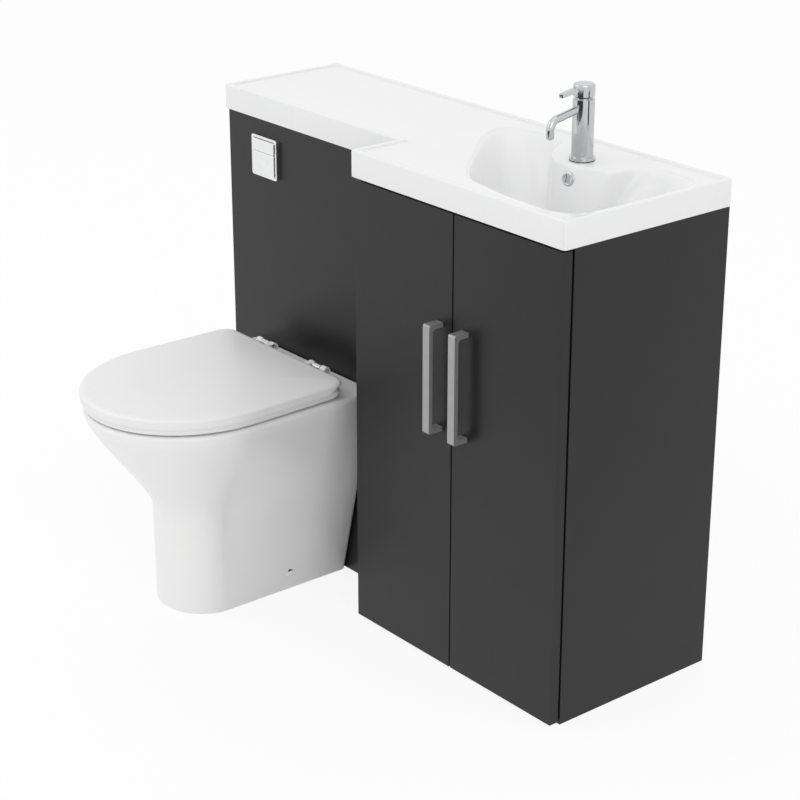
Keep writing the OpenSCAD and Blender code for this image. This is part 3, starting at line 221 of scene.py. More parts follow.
class Recipe(Nodes):
    """One material's node tree, with a Principled surface."""

    def __init__(self, name: str) -> None:
        """Make the material."""
        self.material = bpy.data.materials.new(name)
        self.material.use_nodes = True
        super().__init__(self.material.node_tree)
        self.surface = self.add("ShaderNodeBsdfPrincipled")
        self.add("ShaderNodeOutputMaterial", None, {"Surface": self.surface.outputs[0]})
        self.place = self.add("ShaderNodeTexCoord").outputs["Object"]

    def axis(self, index: int) -> Term:
        """Object coordinate along one axis, in metres."""
        return Term(self, self.add("ShaderNodeSeparateXYZ", None, {0: self.place}).outputs[index])

    def noise(self, size: float, detail: float = 3.0, rough: float = 0.5,
              stretch: Sequence[float] = (1.0, 1.0, 1.0), shift: float = 0.0) -> Term:
        """Soft noise from 0 to 1.

        Args:
            size: width of its largest features, in metres.
            detail: octaves.
            rough: strength of the fine octaves.
            stretch: how many times longer the features are along each axis.
            shift: offset that gives another pattern.

        Returns:
            The noise.
        """
        move = self.add("ShaderNodeMapping", None, {
            0: self.place, "Location": Vector((shift, shift * 0.7, -shift)),
            "Scale": Vector([1.0 / (size * s) for s in stretch])})
        node = self.add("ShaderNodeTexNoise", None,
                        {"Vector": move.outputs[0], "Scale": 1.0, "Detail": detail, "Roughness": rough})
        return Term(self, node.outputs[0])

    def mix(self, first: Colour | bpy.types.NodeSocket, second: Colour | bpy.types.NodeSocket,
            factor: Term) -> bpy.types.NodeSocket:
        """Colour between two colours."""
        node = self.add("ShaderNodeMix", {"data_type": "RGBA"}, {0: factor, 6: first, 7: second})
        return node.outputs[2]

    def finish(self, relief: Term, depth: float, **values: object) -> bpy.types.Material:
        """Feed the surface, bump it and give the material.

        Args:
            relief: height, counted in depths.
            depth: depth of the bump, in metres.
            values: sockets of the surface; underscores in a name stand for spaces.

        Returns:
            The material.
        """
        values["Normal"] = self.add("ShaderNodeBump", None, {"Height": relief, "Distance": depth}).outputs[0]
        for key, value in values.items():
            self.feed(self.surface.inputs[key.replace("_", " ")], value)
        return self.material


# ---------------------------------------------------------------- finishes


@dataclass(frozen=True)
class Laminate:
    """Sheet-faced board: faint cloudiness, fingermarks in the gloss, and edge-banding joints.

    The joints run inside the board's own edges, which low and high give; a board without
    them shows none.
    """

    name: str
    colour: Colour
    pale: Colour
    rough: float
    shine: float
    low: tuple[float, float, float] = (0.0, 0.0, 0.0)
    high: tuple[float, float, float] = (0.0, 0.0, 0.0)
    joint_in: float = 0.0010
    joint_half: float = 0.00022
    relief: float = 0.00006

    def material(self) -> bpy.types.Material:
        """Build the material."""
        r = Recipe(self.name)
        cloud = r.noise(0.16, 2.0, shift=1.3)
        fleck = r.noise(0.0035, 3.0, 0.6)
        marks = r.noise(0.05, 4.0, 0.62, shift=4.1).ramp(0.48, 0.75)
        colour = r.mix(self.colour, self.pale, cloud * 0.22 + fleck * 0.14)
        relief = fleck * 0.10 + r.noise(0.011, 2.0, shift=2.0) * 0.9
        if self.high != self.low:
            thin = int(np.argmin(np.subtract(self.high, self.low)))
            lines = []
            for axis in (k for k in range(3) if k != thin):
                at = r.axis(axis)
                edge = (at - self.low[axis]).low(self.high[axis] - at)
                lines.append(edge.line(self.joint_in, self.joint_half))
            joint = lines[0].high(lines[1])
            colour = r.mix(colour, tuple(c * 0.35 for c in self.colour), joint * 0.7)
            relief = relief - joint * 1.4
        return r.finish(relief, self.relief, Base_Color=colour, Roughness=marks * 0.06 + self.rough, IOR=1.5,
                        Specular_IOR_Level=self.shine)


@dataclass(frozen=True)
class Glaze:
    """Gloss white surface: gel coat, fired glaze or moulded plastic, by its numbers.

    A soiled one has lime marks round a point, out to a reach in metres.
    """

    name: str
    colour: Colour
    shade: Colour
    rough: float
    coat: float
    peel: float
    soil: float = 0.0
    soil_at: tuple[float, float, float] = (0.0, 0.0, 0.0)
    soil_reach: float = 0.1
    lime: Colour = (0.70, 0.68, 0.62)

    def material(self) -> bpy.types.Material:
        """Build the material."""
        r = Recipe(self.name)
        cloud = r.noise(0.22, 2.0, shift=0.4)
        peel = r.noise(0.006, 2.0, 0.45, shift=3.0)
        wipe = r.noise(0.045, 3.0, 0.6, (1.0, 2.6, 1.0), 7.0).ramp(0.5, 0.8)
        colour = r.mix(self.colour, self.shade, cloud * 0.45)
        rough = wipe * 0.07 + self.rough
        if self.soil > 0.0:
            near = r.add("ShaderNodeVectorMath", {"operation": "DISTANCE"},
                         {0: r.place, 1: Vector(self.soil_at)})
            ring = 1.0 - Term(r, near.outputs["Value"]).ramp(self.soil_reach * 0.3, self.soil_reach)
            scale = ring * r.noise(0.012, 4.0, 0.65, shift=9.0).ramp(0.42, 0.72) * self.soil
            colour = r.mix(colour, self.lime, scale)
            rough = rough + scale * 0.3
        return r.finish(peel, self.peel, Base_Color=colour, Roughness=rough, Coat_Weight=self.coat,
                        Coat_Roughness=0.04, IOR=1.5)


@dataclass(frozen=True)
class Metal:
    """Plated or brushed metal with wiped marks and, where asked, brushing along an axis."""

    name: str
    colour: Colour
    rough: float
    grain: tuple[float, float, float] = (1.0, 1.0, 1.0)
    brushed: float = 0.0
    metallic: float = 1.0
    relief: float = 0.00002

    def material(self) -> bpy.types.Material:
        """Build the material."""
        r = Recipe(self.name)
        smear = r.noise(0.018, 4.0, 0.6, shift=2.2)
        brush = r.noise(0.0006, 2.0, 0.5, self.grain)
        dull = tuple(c * 0.82 for c in self.colour)
        rough = smear.ramp(0.4, 0.8) * 0.07 + brush * (0.16 * self.brushed) + self.rough
        return r.finish(brush * self.brushed + r.noise(0.009, 2.0, shift=5.0) * 0.25, self.relief,
                        Base_Color=r.mix(self.colour, dull, smear * 0.5 + brush * 0.3 * self.brushed),
                        Metallic=self.metallic, Roughness=rough)


@dataclass(frozen=True)
class Moulded:
    """Moulded plastic or rubber: fine spark texture, slight tone changes, and a thread if it has a pitch."""

    name: str
    colour: Colour
    shade: Colour
    rough: float
    texture: float = 0.00003
    pitch: float = 0.0
    thread_depth: float = 0.0001

    def material(self) -> bpy.types.Material:
        """Build the material."""
        r = Recipe(self.name)
        tone = r.noise(0.03, 3.0, shift=1.0)
        spark = r.noise(0.0009, 2.0, 0.6)
        relief, depth = spark, self.texture
        if self.pitch > 0.0:
            relief = (r.axis(2) * (2.0 * math.pi / self.pitch)).sin() * 6.0 + spark
            depth = self.thread_depth
        return r.finish(relief, depth, Base_Color=r.mix(self.colour, self.shade, tone * 0.6 + spark * 0.15),
                        Roughness=tone * 0.08 + self.rough, IOR=1.46)


Finish = Laminate | Glaze | Metal | Moulded

# ---------------------------------------------------------------- shape helpers


def stand(name: str, data: bpy.types.ID) -> bpy.types.Object:
    """Put a mesh, lamp or camera into the scene, at the origin."""
    thing = bpy.data.objects.new(name, data)
    bpy.context.scene.collection.objects.link(thing)
    return thing


def between(first: Grid, second: Grid, share: Grid | float) -> Grid:
    """Values or points a share of the way from the first to the second."""
    return first + (second - first) * share


def angles(start: float, end: float, count: int) -> Grid:
    """Evenly spaced angles from start to end, given in degrees, in radians."""
    return np.radians(np.linspace(start, end, count))


def ellipse(turn: Grid, across: float, along: float) -> Grid:
    """Points (across cos t, along sin t) for the angles t."""
    return np.stack([across * np.cos(turn), along * np.sin(turn)], -1)


def circle(radius: float, count: int) -> Grid:
    """Points on a circle about the origin."""
    return ellipse(2 * np.pi * np.arange(count) / count, radius, radius)


def level(plan: Grid, z: float | Grid) -> Grid:
    """Lay a flat outline at a height."""
    return np.column_stack([plan, np.full(len(plan), z)])


def upright(plan: Grid, x: float) -> Grid:
    """Stand a flat outline of (y, z) up at an x."""
    return np.column_stack([np.full(len(plan), x), plan])


def grid_faces(rows: int, columns: int, ring: bool = True, closed: bool = False) -> np.ndarray:
    """Quads between neighbouring rows of a grid of points.

    Args:
        rows: number of rows.
        columns: points in a row.
        ring: whether each row closes on itself.
        closed: whether the last row joins the first.

    Returns:
        One row of four indices for each quad: point (j, i) is number j * columns + i.
    """
    j, i = np.meshgrid(np.arange(rows if closed else rows - 1), np.arange(columns if ring else columns - 1),
                       indexing="ij")
    after, beside = (j + 1) % rows, (i + 1) % columns
    return np.stack([j * columns + i, j * columns + beside, after * columns + beside,
                     after * columns + i], -1).reshape(-1, 4)


def shell(rows: Sequence[Grid], caps: bool = True, closed: bool = False) -> tuple[Grid, list[list[int]]]:
    """Points and faces of a stack of closed rings that have equal numbers of points.

    Args:
        rows: rings of points, in millimetres.
        caps: whether the first and last ring are closed with a fan to their middle.
        closed: whether the last ring joins the first.

    Returns:
        The points and the faces' indices into them.
    """
    stack = np.stack(rows)
    count, around = stack.shape[:2]
    points = stack.reshape(-1, 3)
    faces = grid_faces(count, around, True, closed).tolist()
    if caps and not closed:
        for row in (0, count - 1):
            first, middle = row * around, len(points)
            points = np.vstack([points, stack[row].mean(0)])
            faces += [[first + k, first + (k + 1) % around, middle] for k in range(around)]
    return points, faces


def finish_mesh(mesh: bpy.types.Mesh, shade: Shade) -> None:
    """Shade a mesh smooth, or smooth between its sharp edges."""
    mesh.validate()
    mesh.polygons.foreach_set("use_smooth", [True] * len(mesh.polygons))
    if shade is Shade.BY_ANGLE:
        mesh.set_sharp_from_angle(angle=math.radians(SHARP_ANGLE))
    mesh.update()


def mesh_object(name: str, points: Grid, faces: Sequence[Sequence[int]],
                shade: Shade = Shade.BY_ANGLE) -> bpy.types.Object:
    """Put points and faces into a new object that stands at the origin.

    Args:
        name: the piece's name.
        points: its vertices, in millimetres.
        faces: vertex indices of each face.
        shade: how its facets are shaded.

    Returns:
        The object, with its faces pointing outwards.
    """
    mesh = bpy.data.meshes.new(name)
    mesh.from_pydata((points * MM).tolist(), [], faces)
    work = bmesh.new()
    work.from_mesh(mesh)
    bmesh.ops.remove_doubles(work, verts=work.verts, dist=0.000004)
    bmesh.ops.recalc_face_normals(work, faces=work.faces)
    work.to_mesh(mesh)
    work.free()
    finish_mesh(mesh, shade)
    return stand(name, mesh)


def smooth_path(marks: Grid, steps: int, closed: bool = False) -> Grid:
    """Catmull-Rom curve through marks.

    Between marks b and c, with neighbours a and d, the point at share t is half of
    2b + (c - a) t + (2a - 5b + 4c - d) t^2 + (3b - a - 3c + d) t^3.

    Args:
        marks: points that the curve passes through, one in a row.
        steps: points made for each span.
        closed: whether the last mark joins the first.

    Returns:
        The curve's points.
    """
    n = len(marks)
    spans = np.arange(n if closed else n - 1)
    numbers = [spans + k for k in (-1, 0, 1, 2)]
    a, b, c, d = (marks[k % n if closed else np.clip(k, 0, n - 1)][:, None, :] for k in numbers)
    t = (np.arange(steps) / steps)[None, :, None]
    curve = 0.5 * (2 * b + (c - a) * t + (2 * a - 5 * b + 4 * c - d) * t ** 2
                   + (3 * b - a - 3 * c + d) * t ** 3)
    curve = curve.reshape(-1, marks.shape[1])
    return curve if closed else np.vstack([curve, marks[-1]])


def lathe(name: str, profile: Sequence[tuple[float, float]], centre: Sequence[float],
          axis: Sequence[float], around: int = 96) -> bpy.types.Object:
    """Turn a profile about an axis.

    Point (k, i) is centre + h_k * axis + r_k * (cos a_i * side + sin a_i * up), for the
    profile's radii r and heights h and a_i = 2 pi i / around.

    Args:
        name: the piece's name.
        profile: (radius, height) marks, in millimetres, from one end to the other.
        centre: point on the axis at height 0.
        axis: direction of the heights.
        around: points in a ring.

    Returns:
        The object.
    """
    radius, height = np.array(profile, float).T[:, :, None, None]
    axis_v = np.array(axis, float)
    side = np.cross(axis_v, [0.0, 0.0, 1.0] if abs(axis_v[2]) < 0.9 else [0.0, 1.0, 0.0])
    side /= np.linalg.norm(side)
    rim = circle(1.0, around) @ np.stack([side, np.cross(axis_v, side)])
    return mesh_object(name, *shell(np.array(centre, float) + height * axis_v + radius * rim))


def sweep(name: str, path: Grid, section: Grid, up: Sequence[float]) -> bpy.types.Object:
    """Carry a flat section along a path that stays in one plane.

    Point (k, i) is path_k + s_i * side_k + u_i * up, for the section's offsets (s, u) and
    the side that is square to the path's heading and to up.

    Args:
        name: the piece's name.
        path: points of the path, in millimetres.
        section: (side, up) offsets of the section's points.
        up: the normal of the path's plane.

    Returns:
        The object, closed at both ends.
    """
    heading = np.gradient(path, axis=0)
    heading /= np.linalg.norm(heading, axis=1, keepdims=True)
    up_v = np.array(up, float)
    side = np.cross(heading, up_v)
    rows = path[:, None, :] + section[None, :, :1] * side[:, None, :] + section[None, :, 1:] * up_v
    return mesh_object(name, *shell(rows))


def fill_between(points: Grid, loops: Sequence[range]) -> list[list[int]]:
    """Triangles of the flat area between closed loops of points.

    Args:
        points: all points, in millimetres; the loops lie in one level plane.
        loops: indices of each closed loop, the outermost first.

    Returns:
        Triangles, as indices into points.
    """
    same = 1e-4
    work = bmesh.new()
    index: dict[bmesh.types.BMVert, int] = {}
    edges = []
    for loop in loops:
        ids = np.array(loop)
        ids = ids[np.linalg.norm(points[ids] - points[np.roll(ids, 1)], axis=1) > same].tolist()
        verts = [work.verts.new(points[k]) for k in ids]
        index.update(zip(verts, ids))
        edges += [work.edges.new(pair) for pair in zip(verts, verts[1:] + verts[:1])]
    made = bmesh.ops.triangle_fill(work, use_beauty=True, use_dissolve=False, edges=edges)
    faces = [[index[v] for v in f.verts] for f in made["geom"] if isinstance(f, bmesh.types.BMFace)]
    work.free()
    return faces


def crisp_copy(node: str, bevel: float, segments: int) -> bpy.types.Object:
    """Copy a CAD node, merge its loose triangles and break its sharp edges.

    Args:
        node: the CAD node.
        bevel: width of the broken edge, in millimetres.
        segments: rows of faces across the broken edge.

    Returns:
        The copy, at the same place.
    """
    mesh = bpy.data.objects[node].data.copy()
    work = bmesh.new()
    work.from_mesh(mesh)
    bmesh.ops.remove_doubles(work, verts=work.verts, dist=0.000002)
    bmesh.ops.dissolve_limit(work, angle_limit=math.radians(0.4), verts=work.verts, edges=work.edges)
    work.to_mesh(mesh)
    work.free()
    mesh.materials.clear()
    finish_mesh(mesh, Shade.BY_ANGLE)
    piece = stand(node + "_crisp", mesh)
    edge = piece.modifiers.new("edge", "BEVEL")
    edge.width = bevel * MM
    edge.segments = segments
    edge.limit_method = "ANGLE"
    edge.angle_limit = math.radians(BEVEL_ANGLE)
    edge.use_clamp_overlap = True
    flat = piece.modifiers.new("flat", "WEIGHTED_NORMAL")
    flat.weight = 100
    flat.keep_sharp = True
    return piece


def middle_of(node: str) -> tuple[float, float]:
    """Plan place of the middle of a CAD node, in millimetres."""
    low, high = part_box(node)
    middle = (low + high) / 2 / MM
    return round(middle.x, 2), round(middle.y, 2)


class Workshop:
    """Finishes by name, and the ways in which pieces and nodes are dressed and seated."""

    def __init__(self, frame: Mapping[str, object]) -> None:
        """Read each CAD node's body and material slot."""
        record = frame["record"]
        self.body_of = {n: b for b, ns in record["behaviour"]["bodies"].items() for n in ns}
        self.slot_of = {s["node"]: s["material_slot"] for s in record["subparts"]}
        self.made: dict[Finish, bpy.types.Material] = {}

    def dress(self, piece: bpy.types.Object, finish: Finish) -> None:
        """Give a piece one finish all over, whose material is built once."""
        if finish not in self.made:
            self.made[finish] = finish.material()
        piece.data.materials.clear()
        piece.data.materials.append(self.made[finish])
        for slot in piece.material_slots:
            slot.link = "DATA"

    def seat(self, piece: bpy.types.Object, finish: Finish, node: str, replace: bool = True) -> None:
        """Dress a piece, make it ride with a node's body and, where asked, stand for the node.

        Args:
            piece: the piece.
            finish: its finish.
            node: the CAD node that it belongs to.
            replace: whether it takes the node's place.
        """
        self.dress(piece, finish)
        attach(piece, self.body_of[node])
        if replace:
            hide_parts(node)
        LOG.info("%s rides on %s", piece.name, self.body_of[node])

    def crisp(self, node: str, finish: Finish, bevel: float, segments: int = 2) -> None:
        """Stand a copy with broken edges in a node's place."""
        self.seat(crisp_copy(node, bevel, segments), finish, node)


# ---------------------------------------------------------------- finishes of this unit

DARK: Colour = (0.0093, 0.0087, 0.0088)
DARK_PALE: Colour = (0.0145, 0.0136, 0.0137)
BOARD = Laminate("white_board", (0.70, 0.70, 0.68), (0.76, 0.76, 0.74), 0.42, 0.5)
GEL = Glaze("basin_gel_coat", (0.82, 0.82, 0.82), (0.78, 0.785, 0.79), 0.16, 0.35, 0.00002, 0.10,
            (0.295, -0.208, 0.742), 0.075)
CHINA = Glaze("fired_glaze", (0.87, 0.87, 0.865), (0.83, 0.835, 0.84), 0.32, 0.15, 0.00003, 0.10,
              (-0.25, -0.52, 0.15), 0.13)
SEAT_WHITE = Glaze("seat_plastic", (0.84, 0.84, 0.84), (0.81, 0.81, 0.815), 0.42, 0.10, 0.000015)
CHROME = Metal("chrome_plate", (0.58, 0.59, 0.60), 0.06)
PLATE = Metal("pale_chrome_plate", (0.86, 0.865, 0.87), 0.10)
HANDLE = Metal("handle_bar", (0.40, 0.40, 0.405), 0.30, (1.0, 1.0, 60.0), 0.7, 0.55)
STEEL = Metal("zinc_steel", (0.50, 0.51, 0.52), 0.30, (1.0, 1.0, 8.0), 0.5)
PLASTIC = Moulded("white_moulding", (0.72, 0.72, 0.70), (0.66, 0.66, 0.63), 0.38)
THREADED = Moulded("white_threaded_moulding", (0.72, 0.72, 0.70), (0.66, 0.66, 0.63), 0.38, pitch=0.0018)
PIPE = Moulded("waste_plastic", (0.74, 0.74, 0.73), (0.69, 0.69, 0.67), 0.30)
TANK = Moulded("cistern_moulding", (0.055, 0.055, 0.056), (0.075, 0.075, 0.075), 0.45)
RUBBER = Moulded("black_rubber", (0.018, 0.018, 0.018), (0.028, 0.028, 0.027), 0.62, 0.00006)
BELLOWS = Moulded("clear_grey_rubber", (0.20, 0.20, 0.20), (0.26, 0.26, 0.26), 0.5, 0.00004)


# ---------------------------------------------------------------- room and camera


@dataclass
class Studio:
    """Pale floor, white surroundings, soft lamps, two dark flags and the camera.

    A lamp is its place and side, in metres, and its power; a flag is the direction of its
    middle from the tap and half the angle that it covers, in degrees. The camera's distance
    and target are in millimetres, and its focal length in pixels.
    """

    azimuth: float = 50.7
    elevation: float = 22.2
    distance: float = 3862.0
    focal: float = 2116.0
    target: tuple[float, float, float] = (-132.0, -150.0, 320.0)
    sensor: float = 36.0
    lamps: Sequence[tuple[tuple[float, float, float], float, float]] = (
        ((-1.9, -2.6, 2.6), 2.4, 11.0), ((2.6, -1.6, 2.2), 2.2, 13.0), ((0.2, -0.3, 3.4), 2.6, 5.0))
    lit_spot: tuple[float, float, float] = (0.0, -0.25, 0.45)
    world_light: float = 0.90
    floor_reach: float = 30.0
    floor_z: float = -0.0005
    floor_colour: Colour = (0.92, 0.92, 0.92)
    floor_glow: float = 0.88
    flags: Sequence[tuple[float, float]] = ((8.0, 31.0), (98.0, 7.0))
    flag_centre: tuple[float, float] = (0.27, -0.10)
    flag_reach: float = 1.6
    flag_top: float = 0.62
    flag_columns: int = 9
    flag_colour: Colour = (0.02, 0.02, 0.02)

    def camera(self) -> None:
        """Stand the camera at the photograph's angle, with a lens worked out for a square frame."""
        az, el = math.radians(self.azimuth), math.radians(self.elevation)
        look = np.array([-math.sin(az) * math.cos(el), math.cos(az) * math.cos(el), -math.sin(el)])
        data = bpy.data.cameras.new("view")
        data.sensor_width = self.sensor
        data.lens = self.sensor * self.focal / FRAME_PX
        data.clip_end = 50.0
        eye = stand("view", data)
        eye.location = Vector((np.array(self.target) - look * self.distance) * MM)
        eye.rotation_euler = Vector(look).to_track_quat("-Z", "Y").to_euler()
        bpy.context.scene.camera = eye

    def world(self) -> None:
        """White surroundings for the camera, mirrors and glass, softer as a light on matt surfaces."""
        world = bpy.data.worlds.new("studio")
        bpy.context.scene.world = world
        world.use_nodes = True
        nodes = Nodes(world.node_tree)
        lit, shown = (nodes.add("ShaderNodeBackground", None, {0: WHITE, 1: strength})
                      for strength in (self.world_light, 1.0))
        nodes.mixed("ShaderNodeOutputWorld", nodes.seen_straight(), lit, shown)

    def floor(self) -> None:
        """White floor that keeps a faint shadow of the object."""
        mesh = bpy.data.meshes.new("floor")
        mesh.from_pydata([(x * self.floor_reach, y * self.floor_reach, self.floor_z)
                          for x, y in ((-1, -1), (1, -1), (1, 1), (-1, 1))], [], [(0, 1, 2, 3)])
        material = bpy.data.materials.new("studio_floor")
        material.use_nodes = True
        nodes = Nodes(material.node_tree)
        matt = nodes.add("ShaderNodeBsdfDiffuse", None, {0: self.floor_colour})
        glow = nodes.add("ShaderNodeEmission", None, {0: WHITE})
        nodes.mixed("ShaderNodeOutputMaterial", nodes.seen_straight() * self.floor_glow, matt, glow)
        mesh.materials.append(material)
        stand("floor", mesh)

    def flag(self, azimuth: float, half: float, cloth: bpy.types.Material) -> None:
        """Dark sheet that only mirrors see, so that the chrome shows its roundness.

        It is part of an upright cylinder round the tap.

        Args:
            azimuth: direction of its middle from the tap, counted as the camera's is.
            half: half the angle that it covers, in degrees.
            cloth: its material.
        """
        turn = np.radians(azimuth + np.linspace(-half, half, self.flag_columns))
        plan = np.array(self.flag_centre) + self.flag_reach * np.stack([np.sin(turn), -np.cos(turn)], -1)
        mesh = bpy.data.meshes.new("flag")
        mesh.from_pydata(np.vstack([level(plan, z) for z in (0.0, self.flag_top)]).tolist(), [],
                         grid_faces(2, self.flag_columns, False).tolist())
        mesh.materials.append(cloth)
        sheet = stand(f"flag_{int(azimuth)}", mesh)
        for ray in ("camera", "diffuse", "shadow", "transmission"):
            setattr(sheet, "visible_" + ray, False)

    def lamp(self, number: int, place: Sequence[float], size: float, power: float) -> None:
        """Square lamp that faces the unit.

        Args:
            number: its number, for its name.
            place: where it hangs, in metres.
            size: its side, in metres.
            power: its power.
        """
        data = bpy.data.lights.new(f"softbox_{number}", "AREA")
        data.shape = "SQUARE"
        data.size = size
        data.energy = power
        lamp = stand(data.name, data)
        lamp.location = Vector(place)
        lamp.rotation_euler = (Vector(self.lit_spot) - Vector(place)).to_track_quat("-Z", "Y").to_euler()

    def build(self) -> None:
        """Build the room."""
        self.camera()
        self.world()
        self.floor()
        cloth = Recipe("flag_cloth")
        cloth.feed(cloth.surface.inputs["Base Color"], self.flag_colour)
        for azimuth, half in self.flags:
            self.flag(azimuth, half, cloth.material)
        for number, lamp in enumerate(self.lamps):
            self.lamp(number, *lamp)
        bpy.context.scene.view_settings.view_transform = "Standard"


# ---------------------------------------------------------------- the pieces


@dataclass
class SubAssembly:
    """What the sub-assemblies share: the workshop, and CAD nodes that keep their shape.

    A fitting is a node's name, its finish, the width of its broken edges in millimetres and
    the rows of faces across them.
    """

    shop: Workshop
    fittings: ClassVar[Sequence[tuple[str, Finish, float, int]]] = ()

    def build(self) -> None:
        """Break the fittings' edges and dress them."""
        for fitting in self.fittings:
            self.shop.crisp(*fitting)


@dataclass
class Cabinets(SubAssembly):
    """Both carcasses, the front panel, the doors and what is screwed to them."""

    dark_boards: Sequence[str] = ("vanity_side_left", "vanity_side_right", "vanity_toe_rail", "wc_side_left",
                                  "wc_side_right", "wc_front_panel", "door_left", "door_right")
    pale_boards: Sequence[str] = ("vanity_base", "vanity_rails", "vanity_back_panel", "vanity_shelf",
                                  "wc_rails", "cistern_rail")
    fittings: ClassVar = tuple(
        (stem + side, *look) for side in ("left", "right")
        for stem, *look in (("handle_", HANDLE, 0.9, 3), ("handle_screws_", STEEL, 0.4, 2),
                            ("hinge_cups_", STEEL, 0.15, 2), ("door_buffers_", PLASTIC, 0.4, 2))
    ) + (("hinge_arms", STEEL, 0.15, 2), ("shelf_pins", STEEL, 0.2, 2), ("panel_clips", PLASTIC, 0.5, 2))

    def board(self, node: str) -> Laminate:
        """Dark laminate whose edge-banding joints follow the board's own edges."""
        low, high = (tuple(round(v, 5) for v in corner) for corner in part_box(node))
        return Laminate("laminate_" + node, DARK, DARK_PALE, 0.34, 0.35, low, high)

    def build(self) -> None:
        """Dress the boards, handles, hinges and small fittings."""
        for node in self.dark_boards:
            self.shop.crisp(node, self.board(node), 0.6)
        for node in self.pale_boards:
            self.shop.crisp(node, BOARD, 0.4)
        super().build()


